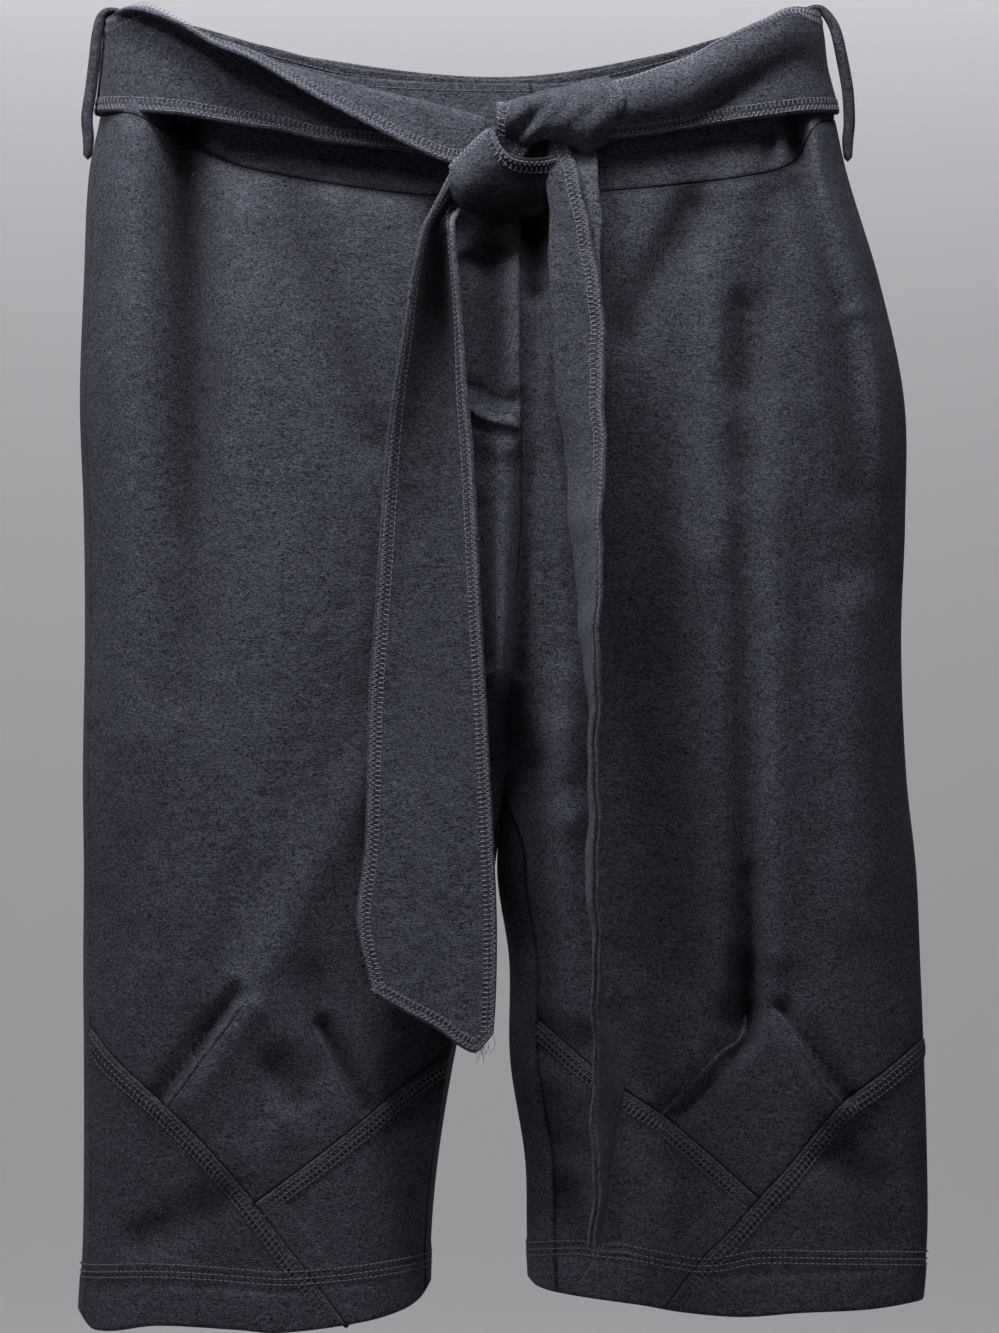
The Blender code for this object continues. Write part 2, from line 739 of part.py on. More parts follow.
def front_pieces(half, name, cut, band_cut):
    """The front's main panel, its two hem panels and its stretch of waistband."""
    v_share = share_of_x(half, half.v_x, half.long_seam(half.v_x))
    runout_share = share_of_x(half, half.runout_x, half.hem(half.runout_x))
    drop = abs(half.long_seam(half.v_x) - half.hem(half.runout_x)) / (runout_share - v_share)
    blunt = TIP_HEIGHT / drop
    outer_shares = columns_from_side(v_share, 5)
    middle_shares = [v_share + blunt] + spread(v_share, runout_share, 3)[1:-1] + [runout_share - blunt]
    inner_shares = spread(runout_share, 1.0, 5)
    shares = outer_shares + middle_shares + inner_shares
    waist = LINES["front_waist"]
    heights = panel_heights(half, "front", waist, v_line(half), cut, 7, 5, 2)
    pieces = {f"front_{name}_panel": panel_grids(half, "front", shares, heights, waist, v_line(half), cut)}
    pieces[f"front_{name}_outer_hem"] = panel_grids(
        half, "front", outer_shares + middle_shares, spread(0, 1, 7), half.long_seam, half.hem
    )
    pieces[f"front_{name}_inner_hem"] = panel_grids(
        half, "front", middle_shares + inner_shares, spread(0, 1, 6), half.short_seam, inner_foot(half)
    )
    pieces[f"front_{name}_waistband"] = panel_grids(
        half, "front", shares, spread(0, 1, 3), LINES["front_top"], waist, band_cut
    )
    return pieces


def back_pieces(half, name):
    heights = panel_heights(half, "back", LINES["back_waist"], half.hem, FLUSH, 6, 5, 6)
    grids = panel_grids(half, "back", columns_from_side(1.0, 10), heights, LINES["back_waist"], half.hem)
    return {f"back_{name}_panel": grids}


def back_waistband():
    """One strip across the back, made of its two halves joined at the middle."""
    joined = ([], [])
    halves = []
    for half in (LEFT, RIGHT):
        shares = columns_from_side(1.0, 10)
        top, bottom = LINES["back_top"], LINES["back_waist"]
        halves.append(panel_grids(half, "back", shares, spread(0, 1, 3), top, bottom, JOINED))
    for side in (0, 1):
        for left_row, right_row in zip(halves[0][side], halves[1][side]):
            joined[side].append(left_row + right_row[-2::-1])
    return joined


def over_skin(half, p, z, out, face="front"):
    """A point lying out from the plain skin, where the belt goes."""
    point = skin_point(half, p, z, face, JOINED, plain=True)
    return point + skin_normal(half, p, z, face, JOINED, plain=True) * out


def over_front(x, z, out):
    """The same for an x across the front."""
    half = LEFT if x < LEFT.inner_x(z) else RIGHT
    return over_skin(half, position(half, "front", share_of_x(half, x, z), z), z, out)


def folded_section(row, bow_share=1.0):
    """A belt's cross-section as (along, across) points: flat, then a bend, then the turned part."""
    turn = math.radians(max(row["turn"], 1.0))
    radius = BEND_LENGTH / turn
    points = [(row["fold_at"] * s, row["bow"] * bow_share * math.sin(math.pi * s)) for s in (0, 0.35, 0.7, 1)]
    for i in range(1, 5):
        angle = turn * i / 4
        points.append((row["fold_at"] + radius * math.sin(angle), radius * (1 - math.cos(angle))))
    rest = row["width"] - row["fold_at"] - BEND_LENGTH
    along, across = points[-1]
    for s in (0.5, 1.0):
        points.append((along + rest * s * math.cos(turn), across + rest * s * math.sin(turn)))
    return points


def belt_row(curves, x):
    return {column: curve(x) for column, curve in curves.items()}


def belt_stretch(half, rows, up, columns):
    """A front stretch of belt. It follows the skin and folds over in front, or down and up behind."""
    curves = {column: Curve(rows, column) for column in Belt._fields[1:]}
    first, last = rows[0].x, rows[-1].x
    end_x = last if half.sign < 0 else first
    end = position(half, "front", share_of_x(half, end_x, BELT_MIDDLE_Z), BELT_MIDDLE_Z)
    start = gap_position(half, 0.0, BELT_MIDDLE_Z, "front") * BELT_GAP / SEAM_GAP
    grid = []
    for p in spread(start, end, columns):
        x = skin_point(half, p, BELT_MIDDLE_Z, "front", JOINED, plain=True).x
        row = belt_row(curves, x)
        section = folded_section(row, bow_share=1.0 if up else -1.0)
        deepest = max(across for _, across in section)
        line = []
        for along, across in section:
            z = row["edge_z"] + (along if up else -along)
            out = row["out"] + (across if up else deepest - across)
            line.append(over_skin(half, p, z, out))
        grid.append(line)
    return thicken(grid, CLOTH)


def back_belt():
    """The belt round the back, from one side of the waist to the other."""
    grid = []
    for half in (LEFT, RIGHT):
        gap = gap_position(half, 0.0, BELT_MIDDLE_Z, "front") * BELT_GAP / SEAM_GAP
        positions = spread(2.0 - gap, 1.0, 15)
        if half is RIGHT:
            positions = positions[-2::-1]
        for p in positions:
            x = skin_point(half, p, BELT_MIDDLE_Z, "back", JOINED, plain=True).x
            low = LINES["back_belt"](x)
            heights = spread(low, low + BACK_BELT_WIDTH - BACK_BELT_SQUEEZE * (1 - abs(p - 1)), 4)
            grid.append([over_skin(half, p, z, BACK_BELT_OUT, "back") for z in heights])
    return thicken(grid, CLOTH)


def knot_wrap():
    """The band of belt over the front of the knot, open at its two ends and below."""
    curves = {column: Curve(KNOT, column) for column in Wrap._fields[1:]}
    grid = []
    for around in spread(0, 1, 10):
        row = {column: curve(around) for column, curve in curves.items()}
        columns = spread(row["left_x"], row["right_x"], 8)
        grid.append([over_front(x, row["z"], row["out"]) for x in columns])
    return thicken(grid, CLOTH)


def left_tail():
    """The flat tail, a channel at the top, with its slanted foot."""
    curves = {column: Curve(LEFT_TAIL, column) for column in Tail._fields[1:]}
    foot = Curve(LEFT_TAIL_FOOT, "z")
    across = [0.0, 0.07, 0.2, 0.36, 0.5, 0.64, 0.8, 0.93, 1.0]
    heights = spread(0.0, 0.16, 8) + spread(0.16, 1.0, 16)[1:]
    grid = []
    for height in heights:
        line = []
        for share in across:
            z = LEFT_TAIL[0].z + (foot(share) - LEFT_TAIL[0].z) * height
            x = curves["left_x"](z) + (curves["right_x"](z) - curves["left_x"](z)) * share
            wall = abs(2 * share - 1) ** TAIL_WALL_POWER
            line.append(Vector((x, curves["y"](z) - curves["walls"](z) * wall, z)))
        grid.append(line)
    return thicken(grid, CLOTH)


def right_tail():
    """The tail that is folded in half lengthwise and turns edge-on."""
    curves = {column: Curve(RIGHT_TAIL, column) for column in Twist._fields[1:]}
    radius = TAIL_LAYERS_APART / 2
    grid = []
    root, free = RIGHT_TAIL[0].z, RIGHT_TAIL[2].z
    for z in spread(root, free, 4) + spread(free, RIGHT_TAIL[-1].z, 25)[1:]:
        row = {column: curve(z) for column, curve in curves.items()}
        reach = row["width"] / 2
        section = [(reach - (2 * reach - radius) * s, radius) for s in (0, 0.5, 1)]
        for i in range(1, 4):
            angle = math.pi * i / 4
            section.append((radius - reach - radius * math.sin(angle), radius * math.cos(angle)))
        section += [(reach - (2 * reach - radius) * s, -radius) for s in (1, 0.5, 0)]
        turn = math.radians(row["turn"])
        line = []
        for u, v in section:
            x = row["x"] + u * math.cos(turn) + v * math.sin(turn)
            y = row["y"] - u * math.sin(turn) + v * math.cos(turn)
            line.append(Vector((x, y, z)))
        grid.append(line)
    return thicken(grid, CLOTH)


def belt_loop(path):
    """A strap with its width along Y and its thickness across the path."""
    half_width = LOOP_WIDTH / 2
    grid = [[Vector((point.x, y, point.z)) for y in (-half_width, half_width)] for point in path]
    return thicken(grid, LOOP_THICKNESS)


def main():
    for leftover in list(bpy.data.objects):
        bpy.data.objects.remove(leftover)
    collection = bpy.data.collections.new("wool_shorts")
    bpy.context.scene.collection.children.link(collection)

    pieces = front_pieces(LEFT, "left", FLY_OVER, BAND_OVER)
    pieces.update(front_pieces(RIGHT, "right", FLY_UNDER, BAND_UNDER))
    pieces.update(back_pieces(LEFT, "left"))
    pieces.update(back_pieces(RIGHT, "right"))
    pieces["back_waistband"] = back_waistband()
    pieces["belt_left"] = belt_stretch(LEFT, LEFT_BELT, True, 22)
    pieces["belt_right"] = belt_stretch(RIGHT, RIGHT_BELT, False, 22)
    pieces["belt_back"] = back_belt()
    pieces["belt_knot"] = knot_wrap()
    pieces["belt_left_tail"] = left_tail()
    pieces["belt_right_tail"] = right_tail()
    pieces["loop_left"] = belt_loop(LEFT_LOOP)
    pieces["loop_right"] = belt_loop(RIGHT_LOOP)
    for name, (near, far) in pieces.items():
        build_wall(name, collection, wool("wool_" + name), near, far)


main()
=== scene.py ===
"""Wool shorts with a tie belt: felted cloth, coverstitched seams, knotted belt and a plain studio.

All tables are in millimetres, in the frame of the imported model: the front is seen along +Y, +X runs to
the viewer's right and +Z is up. Left and right are the viewer's.

The cloth is one smooth skin round the body and the two legs. A place on it is a half of the garment, a
position round that half and a height. Position 0 is the outer edge, 0 to 1 runs over the front to the
inner edge, and 1 to 2 comes back over the back.
"""

import json
import math
from collections import namedtuple

import bmesh
import bpy
import numpy as np
from bpy.props import FloatProperty, FloatVectorProperty, PointerProperty
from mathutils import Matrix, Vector

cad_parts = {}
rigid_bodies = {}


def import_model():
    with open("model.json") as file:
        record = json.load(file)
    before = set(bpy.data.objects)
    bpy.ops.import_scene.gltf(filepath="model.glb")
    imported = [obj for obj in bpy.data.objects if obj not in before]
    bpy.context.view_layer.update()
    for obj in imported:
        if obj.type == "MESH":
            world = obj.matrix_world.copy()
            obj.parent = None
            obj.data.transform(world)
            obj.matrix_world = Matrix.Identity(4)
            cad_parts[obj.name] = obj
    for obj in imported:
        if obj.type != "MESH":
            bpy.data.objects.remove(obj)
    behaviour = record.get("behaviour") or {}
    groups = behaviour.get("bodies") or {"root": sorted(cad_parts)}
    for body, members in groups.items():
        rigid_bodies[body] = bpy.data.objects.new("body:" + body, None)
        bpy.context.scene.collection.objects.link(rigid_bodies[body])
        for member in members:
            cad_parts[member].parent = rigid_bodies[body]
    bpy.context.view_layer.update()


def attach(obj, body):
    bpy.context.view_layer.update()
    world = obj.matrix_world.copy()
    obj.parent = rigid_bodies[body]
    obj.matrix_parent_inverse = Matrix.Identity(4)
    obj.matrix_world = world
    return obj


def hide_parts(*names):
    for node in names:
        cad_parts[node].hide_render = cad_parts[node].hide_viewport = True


bl_info = {
    "name": "Wool shorts with a tie belt",
    "version": (1, 0, 0),
    "blender": (4, 5, 0),
    "location": "3D View > Sidebar > Shorts",
    "description": "Felted wool shorts with coverstitched seams and a knotted belt",
    "category": "Object",
}

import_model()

MM = 0.001
ROOT = "root"


def rows(kind, *values):
    """Rows of a table, each with the named columns of its kind."""
    return [kind(*value) for value in values]


# Crotch: where the four panels meet, and where the front and back rise start to turn in to it
CROTCH_Z = -381.0
CROTCH_Y = 4.0
RISE_TURN = {"front": -300.0, "back": -285.0}
INSEAM_SETTLE = 45.0

# Share of a half's front or back that each rounded edge takes, and the inner edge's radius
TURN = 0.28
INNER_RADIUS = 48.0

# Distance in from the outline at which a fold reaches its full height
FOLD_FADE = 18.0

# Fly: the left front laps over the right one down to FLY_END
BAND_LIFT = 2.7
FLY_LIFT = 6.0
FLY_START = -92.0
FLY_FLAT = 15.0
FLY_RAMP = 24.0
FLY_END = -206.0
FLY_SETTLE = 24.0
FLY_UNDERLAP = 8.0
UNDERLAP_SETTLE = 12.0
RISE_OVERLAP = 0.9
RISE_SETTLE = 40.0
BAND_OVERLAP = 5.0

# Outline of the garment at each height, and how far its front and back faces stand from the middle
Body = namedtuple(
    "Body", "z left_x left_in right_in right_x left_front left_back right_front right_back radius"
)
BODY = rows(
    Body,
    (0, -179, 26.5, 26.5, 173.5, -21, 22, -21, 22, 40),
    (-24, -181, 26.5, 26.5, 176, -24, 25, -24, 25, 42),
    (-50, -184, 26.5, 26.5, 183, -27, 28, -27, 28, 48),
    (-81, -190, 26.5, 26.5, 190, -31, 32, -31, 32, 56),
    (-134, -192.5, 26.5, 26.5, 206, -37, 38, -37, 38, 68),
    (-194, -194.5, 26.5, 26.5, 218.5, -41, 43, -41, 43, 76),
    (-254, -192.5, 26.5, 26.5, 219, -43, 46, -43, 45, 80),
    (-314, -192, 22, 22, 217, -43, 46, -41, 43, 78),
    (-381, -193, 19, 19, 219.5, -41, 43, -37, 38, 72),
    (-429, -192.5, 13.2, 14.5, 224.5, -39, 40, -33, 34, 68),
    (-474, -192.8, 4, 20.5, 226.5, -37, 37, -29, 30, 64),
    (-524, -192.5, -7, 21, 228.5, -36, 35, -26, 27, 62),
    (-574, -192.5, -15, 28.5, 230, -35, 34, -24, 25, 60),
    (-614, -193, -18.5, 29.5, 230, -34, 33, -23, 24, 60),
    (-661, -195.5, -19.5, 32, 226, -34, 33, -23, 24, 60),
)

# Seams and edges as the height at each x
Line = namedtuple("Line", "x z")
FRONT_TOP = rows(
    Line, (-180, -2), (-160, -6), (-109, -22), (-60, -33), (-20, -36), (26, -37), (60, -36),
    (100, -29), (140, -16), (175, -2),
)
BACK_TOP = rows(
    Line, (-180, -2), (-143, -6), (-104, -14), (-64, -24), (-24, -29), (20, -31), (56, -28), (96, -19),
    (136, -8), (175, -2),
)
FRONT_WAIST = rows(
    Line, (-185, -51), (-168, -52), (-150, -60), (-130, -71), (-109, -79), (-34, -91.5), (20, -94),
    (67, -91), (120, -86), (148, -81.5), (158, -78.5), (165, -73), (170, -62.5), (176, -56),
    (184, -53),
)
BACK_WAIST = rows(
    Line, (-185, -51), (-140, -62), (-80, -80), (20, -88), (110, -76), (160, -60), (184, -53),
)
LEFT_HEM = rows(
    Line, (-196, -648), (-187, -658), (-154, -655), (-114, -657), (-94, -658.5), (-54, -653.5),
    (-34, -648.5), (-24, -643), (-18, -634),
)
RIGHT_HEM = rows(
    Line, (29, -632), (34, -637), (46, -640), (86, -645.5), (106, -649), (136, -651.5), (166, -649.5),
    (201, -648), (228, -644.5),
)
LEFT_LONG_SEAM = rows(
    Line, (-188, -508), (-177, -521.5), (-150.5, -545.5), (-129, -567), (-106, -594), (-90, -615),
    (-79, -629), (-60.5, -654),
)
LEFT_SHORT_SEAM = rows(
    Line, (-106, -594), (-73, -569.5), (-52.5, -553), (-34, -537.5), (-16.5, -525.5), (-5, -520),
)
RIGHT_LONG_SEAM = rows(
    Line, (98, -647), (116, -623), (128.5, -611), (145, -592.5), (159, -577.5), (173, -560.5),
    (186.5, -545), (205, -531.5), (228, -513),
)
RIGHT_SHORT_SEAM = rows(
    Line, (20, -493), (37.5, -505.5), (59.5, -524.5), (76.5, -537.5), (96.5, -550.5), (121, -571),
    (145, -592.5),
)

# Upper line of the hem's stitching, and the three rows of it below that line
LEFT_HEM_STITCH = rows(
    Line, (-192, -626), (-150, -624.5), (-97, -628), (-79.5, -627.5), (-50, -624.5), (-18, -620),
)
RIGHT_HEM_STITCH = rows(
    Line, (30, -615.5), (50.5, -614), (82.5, -616.5), (117.5, -622.5), (143.5, -618.5),
    (174.5, -618.5), (229, -620),
)
HEM_ROWS = (0.0, 3.6, 6.4)

# Soft folds, each along a line, from its height at the top to its height at the bottom. Their heights also
# paint the cloth: painted shade in the hollows, painted highlight on the ridges
Fold = namedtuple("Fold", "top_x top_z low_x low_z width top_height low_height")
FOLDS = {
    "front": rows(
        Fold,
        # Valleys beside the rolls at the two sides
        (-142, -30, -138, -340, 13, -16, -3), (162, -50, 168, -90, 6, -9, -4),
        (171, -98, 185, -146, 6, -4, -4), (188, -160, 196, -240, 9, -3.5, -2.5),
        (-168, -50, -168, -360, 12, 5, 2), (173, -60, 178, -90, 6, 5, 3.5),
        (182, -98, 198, -146, 7, 4, 4), (201, -156, 209, -230, 9, 3.5, 3),
        # Hollows under the belt, where the waistband sags behind it
        (-116, -72, -30, -82, 13, -7.5, -6.5), (78, -76, 148, -68, 12, -2.5, -5),
        # Broad rounds down the middle of each front
        (-100, -160, -104, -500, 34, 3, 4), (136, -250, 134, -485, 15, 2.5, 4.5),
        (112, -95, 96, -330, 16, -2.5, -3), (196, -300, 192, -450, 16, 4.5, 2),
        # Folds that run down to the crotch
        (30, -225, 23, -360, 6, -1.5, -3.5), (56, -240, 50, -400, 12, 2, 3.5),
        (-12, -250, 4, -390, 12, -1, -4),
        # Dimple over the left knee dart, and the pinch over the right one
        (-76, -485, -72, -525, 12, -3.5, -3), (137, -478, 128, -516, 8, -4, -3),
        (190, -565, 206, -610, 16, -4.5, -3), (-150, -560, -120, -625, 16, -1.5, -2.5),
    ),
    "back": rows(
        Fold,
        # The same pull at the sides, hollows under the seat and folds above the knees
        (-148, -20, -142, -330, 14.5, -8.5, 0), (158, -15, 182, -330, 14.5, -8.5, 0),
        (-60, -330, -130, -400, 16, -4, -2), (74, -325, 150, -402, 17, -4.5, -2),
        (-92, -430, -96, -620, 26, 3, 2), (118, -420, 124, -610, 24, 3.5, 2),
        (20, -120, 20, -250, 16, -3, -4), (-40, -470, -52, -590, 12, -2.5, -3),
        (186, -450, 178, -560, 14, -3, -1.5),
    ),
}

# Finer creases, which the solids leave out. Like the folds, they also paint shade in their hollows and
# highlight on their ridges
CREASES = {
    "front": rows(
        Fold,
        # Left front: round and slanting hollow below the belt, and the folds down to the knee
        (-110, -105, -108, -230, 13, 3.4, 1), (-88, -96, -46, -215, 12, -3.5, -4.6),
        (-165, -60, -168, -230, 5, 0.8, 0.3), (-66, -96, -56, -140, 7, 1.6, 0.6),
        (-42, -365, -108, -488, 13, 3.4, 3), (-112, -430, -134, -512, 11, -1.4, -2.4),
        (-92, -550, -102, -572, 11, 2.6, 1.6), (-95, -525, -86, -543, 8, -4, -3.6),
        (-115, -489, -153, -540, 3.8, -5, -4), (-105, -497, -142, -548, 6, 1.8, 1.4),
        (-72, -505, -50, -546, 3.8, -4.4, -4), (-81, -510, -60, -552, 6, 1.2, 1),
        # The hollows at (-20, -500) and (-6, -508), below the left tail's foot, give painted shade where
        # the tail casts its shadow
        (-163, -613, -119, -591, 10, -3.4, -2.8), (-20, -500, -26, -545, 13, -6, -7),
        (-6, -508, -12, -536, 9, -8, -8), (-52, -505, -44, -545, 8, 1.8, 0.8),
        (-170, -420, -176, -500, 7, -0.6, -0.8), (-160, -330, -152, -420, 15, -0.6, -0.2),
        # Fly and crotch. The deep hollows under the knot at (-4, -106) and beside the fly's edge at (35,
        # -98) give painted shade where the knot and the fly cast their shadows
        (12, -126, 12, -186, 10, -9, -6), (24, -122, 24, -186, 3.8, 2.4, 1.8),
        (-4, -106, 24, -112, 16, -11, -12), (35, -98, 33.5, -138, 7.5, -9.5, -8),
        (34, -146, 34, -190, 7, -3.5, 0), (2, -189, 11, -194.5, 3.8, -2.6, -3),
        (16, -195.8, 22, -196, 3.8, -2.6, -3.2), (4, -207, 22, -213, 3.8, -0.7, -0.5),
        (18, -222, 17, -330, 7.5, 5, 9), (6, -248, 9, -325, 4.5, -2, -4),
        (31, -234, 24.5, -330, 4.5, -1.2, -5.5), (21, -340, 20, -368, 5, -5, -4.5),
        (46, -335, 46, -372, 10, 3, 2.4), (44, -395, 64, -378, 6, -1.2, -0.8),
        (46, -359, 53, -502, 10, 3.4, 3), (38, -505, 62, -514, 7, -2.2, -1.6),
        (40, -532, 58, -540, 8, 2.2, 1.2), (38, -562, 60, -570, 7, -1.8, -1),
        # Right front: hollows below the belt, the long crease to the dart and the flare at the hip
        (152, -92, 138, -185, 12, -5, -3), (152, -60, 148, -80, 4, -3, -1.5),
        (160, -57, 165, -74, 4, -4, -3), (156.5, -60, 156, -80, 3.5, 2, 1),
        (112, -100, 79, -160, 10, -5.6, -3.4), (118, -130, 121, -270, 12, 3.4, 2),
        (137, -150, 139, -500, 9, -3.4, -9), (153, -200, 154, -470, 9, 1.8, 2.8),
        (140, -430, 140, -512, 5, -2, -5), (137, -518, 101, -554, 3.8, -3.4, -2.2),
        (122, -510, 92, -542, 6, 1.8, 1.2), (157, -497, 190, -541, 3.8, -4.8, -4.2),
        (148, -504, 180, -548, 6, 1.6, 1.2), (40, -520, 44, -600, 9, -2.4, -3),
        (84, -230, 90, -470, 24, -2.6, -3.4), (76, -502, 98, -546, 10, -2.6, -3.4),
        (176, -572, 205, -584, 8, -2.2, -1.6), (50, -590, 56, -612, 8, -3.6, -4),
        (73, -545, 77, -612, 7, -3.5, -3.5), (166, -505, 172, -535, 11, 2.8, 1.4),
        (112, -500, 108, -530, 8, 1.8, 0.8), (214, -470, 210, -560, 7, -0.7, -0.4),
        (176, -590, 196, -625, 10, 1.4, 0.6),
    ),
    "back": rows(
        Fold,
        # The deep hollow at (17, -384), at the inner edge by the crotch, gives painted shade on the strip
        # of the back seen beside the legs
        (17, -384, 22, -455, 9, -14, -5), (-20, -110, -80, -170, 10, -1.6, -0.8),
        (60, -110, 118, -175, 10, -1.6, -0.8), (4, -300, -40, -352, 7, -2.4, -1.2),
        (40, -300, 86, -350, 7, -2.4, -1.2), (-120, -470, -150, -520, 9, -1.6, -1),
        (90, -460, 130, -505, 9, -1.6, -0.8), (-110, -150, -116, -300, 14, 2.4, 1),
        (128, -150, 140, -300, 14, 2.4, 1),
    ),
}

# Slow unevenness of the cloth: waves by length and direction
Wave = namedtuple("Wave", "length_x length_z phase height")
SWAY = rows(
    Wave, (61, 143, 0.4, 0.34), (-47, 97, 2.1, 0.26), (83, -59, 4.4, 0.24), (29, 71, 1.3, 0.13),
    (-23, 37, 5.2, 0.09),
)

# Knee darts, from the seam up
LEFT_DARTS = (
    ((-150.5, -545.5), (-135.0, -524.5), (-122.0, -508.0), (-112.0, -493.5)),
    ((-54.0, -552.5), (-62.0, -538.0), (-68.5, -523.0), (-75.5, -508.0)),
)
RIGHT_DARTS = (
    ((96.5, -550.5), (110.0, -537.0), (125.5, -520.5), (136.0, -512.5), (139.0, -499.0)),
    ((186.5, -544.5), (176.0, -533.0), (165.0, -514.5), (153.0, -497.5)),
)

# Stitching of the fly: two rounded lines at its foot
FLY_STITCH = (
    ((2.0, -191.5), (7.5, -197.5), (17.0, -201.0), (26.0, -201.0)),
    ((2.5, -201.5), (12.5, -207.0), (26.0, -209.5)),
)

# Belt across the front, as cross-sections at each x. Each point is (height, distance out of the cloth).
# The left stretch starts at its lower edge, goes up, and its upper part falls forward as a flap.
Across = namedtuple("Across", "x section")
BELT_MIDDLE_Z = -30.0
BELT_WIDTH = 58.0
LEFT_BELT = rows(
    Across,
    (-181, ((-50.5, 1.6), (-38, 1.8), (-26, 1.8), (-15, 1.8), (-8, 1.8), (-5, 1.8), (-2.5, 1.8))),
    (-164, ((-51.5, 1.8), (-38, 2.3), (-25, 2.8), (-12, 3.2), (-3, 4.5), (0.5, 7.5), (-2, 11))),
    (-143, ((-53.5, 1.8), (-42, 2.6), (-30, 3.2), (-18, 3.6), (-10.5, 5), (-8.5, 9.5), (-10, 15))),
    (-127, ((-56.5, 1.8), (-46, 2.6), (-36, 3.2), (-26, 3.8), (-18.5, 6), (-17, 12), (-20.5, 18.5))),
    (-108, ((-59.5, 1.8), (-50, 2.4), (-41, 3), (-31, 3.7), (-24, 6), (-22.8, 12), (-28.5, 19.5))),
    (-92, ((-62, 1.8), (-54, 2.3), (-46, 2.8), (-37.5, 3.6), (-31, 6), (-30, 11.5), (-38, 18))),
    (-74, ((-66.5, 1.8), (-59, 2.2), (-51, 2.7), (-42, 3.6), (-35.5, 6), (-35.5, 10.5), (-48.5, 15.5))),
    (-47, ((-69.5, 1.8), (-63, 2.1), (-56, 2.5), (-48, 3.4), (-42, 5.5), (-43.5, 9), (-62, 12))),
    (-27, ((-72, 1.8), (-66, 2), (-60, 2.4), (-52, 3.2), (-46.5, 5), (-48.5, 8), (-71.5, 10))),
    (-7, ((-76, 2.2), (-70, 2.4), (-64, 2.7), (-57, 3.2), (-51.5, 4.4), (-54, 6.6), (-79, 7.2))),
    (9, ((-78, 3.2), (-72, 3.3), (-67, 3.4), (-60, 3.6), (-56, 4.6), (-58, 6.2), (-78, 6.6))),
)

# The right stretch starts at its upper edge, rolls forward and down into a valley, and comes out
# again to its lower edge
RIGHT_BELT = rows(
    Across,
    (46, ((-49, 3.4), (-50, 5.5), (-53, 7), (-58, 7), (-62, 5.6), (-64, 4.2), (-65.5, 4.2), (-67, 3.4))),
    (62, ((-40, 3.8), (-42, 7), (-47, 9.5), (-54, 9.4), (-60, 6.6), (-63, 4.2), (-65, 4.2), (-66.5, 3.4))),
    (81, ((-35, 4.6), (-37.5, 9), (-44, 13.2), (-52.5, 13), (-59, 8),
        (-62, 4.4), (-63.5, 4.3), (-65, 3.4))),
    (97, ((-29.5, 4), (-32, 9.5), (-39, 14.2), (-49, 13), (-56.5, 7.8),
        (-59.5, 4), (-61.2, 4.2), (-62.5, 3.2))),
    (110, ((-24.5, 3.4), (-28, 9.5), (-35, 14.5), (-46, 13.2), (-53.5, 7),
        (-56.5, 3.4), (-58.5, 4), (-60.5, 3))),
    (123, ((-18, 3), (-20, 8.5), (-28, 13), (-39, 11.4), (-46.5, 5.2),
        (-49.5, 2.6), (-53.5, 3.8), (-58.5, 2.8))),
    (136, ((-11, 2.8), (-13.5, 7.4), (-22, 11), (-32, 9), (-39, 3.8),
        (-42.5, 2.6), (-49, 3.8), (-56.5, 2.6))),
    (148, ((-5.5, 2.5), (-8, 6.4), (-16, 8.8), (-25, 7), (-31, 3.2), (-36, 2.6), (-45, 3.8), (-54.5, 2.4))),
    (163, ((1.5, 2), (-1.5, 5), (-9, 7.2), (-18, 6), (-25, 3), (-32, 2.6), (-42, 3), (-52, 2.2))),
    (176, ((1.5, 1.8), (-6, 2.6), (-14, 3.2), (-22, 3), (-29, 2.6), (-36, 2.4), (-44, 2.3), (-51, 2))),
)

# Bottom of the valley below the right stretch's roll, where its shadow falls, and how dark the painted
# shade along it is
RIGHT_BELT_VALLEY = rows(
    Line, (81, -63), (97, -60.5), (110, -56), (123, -49), (136, -41), (148, -33.5), (163, -26),
)
VALLEY_WIDTH = 8.0
VALLEY_END, VALLEY_FADE = 166, 30
VALLEY_SHADE = 17.0

BACK_BELT = rows(
    Line, (-185, -51), (-140, -58), (-80, -74), (20, -84), (110, -70), (160, -56), (184, -51),
)
BACK_BELT_WIDTH = 54.0
BACK_BELT_OUT = 2.2

# Knot wrap: a stout roll over the front of the knot, its cross-sections from the top round to below
KNOT = rows(
    Across,
    (14, ((-50, 8.5), (-49.6, 11), (-51.5, 13.5), (-54.5, 14.8), (-57.5, 14.4), (-60.5, 12.5), (-62, 9.5))),
    (19, ((-50.5, 6.5), (-49.4, 11), (-52, 16), (-57, 18.6), (-62, 17.4), (-65.5, 13), (-67, 8.5))),
    (27, ((-47.5, 5), (-46.6, 11), (-50, 17.6), (-57, 20.6), (-64, 19), (-69, 13.6), (-70.8, 8))),
    (38, ((-43.2, 4.6), (-43.4, 11), (-47.5, 18), (-54.5, 20.8), (-61, 19.2), (-65, 14.8), (-67, 10.5))),
    (50, ((-39.6, 4.4), (-41, 10), (-45.5, 17), (-53.5, 20.4), (-61.5, 19), (-67.5, 13.6), (-69.6, 8.5))),
    (62, ((-36.6, 4.2), (-38.8, 8.5), (-44, 14.6), (-53, 18.2), (-62.5, 17.2), (-71, 11.6), (-74, 6.5))),
    (71, ((-35.4, 4), (-38.2, 8), (-43.5, 13.4), (-51, 16), (-60, 15.4), (-67.5, 10.6), (-70.5, 6))),
    (78, ((-34.4, 4.6), (-37.4, 9.6), (-43.5, 13.9), (-51, 14.3), (-58, 11.6), (-64, 7.6), (-67.5, 5))),
)
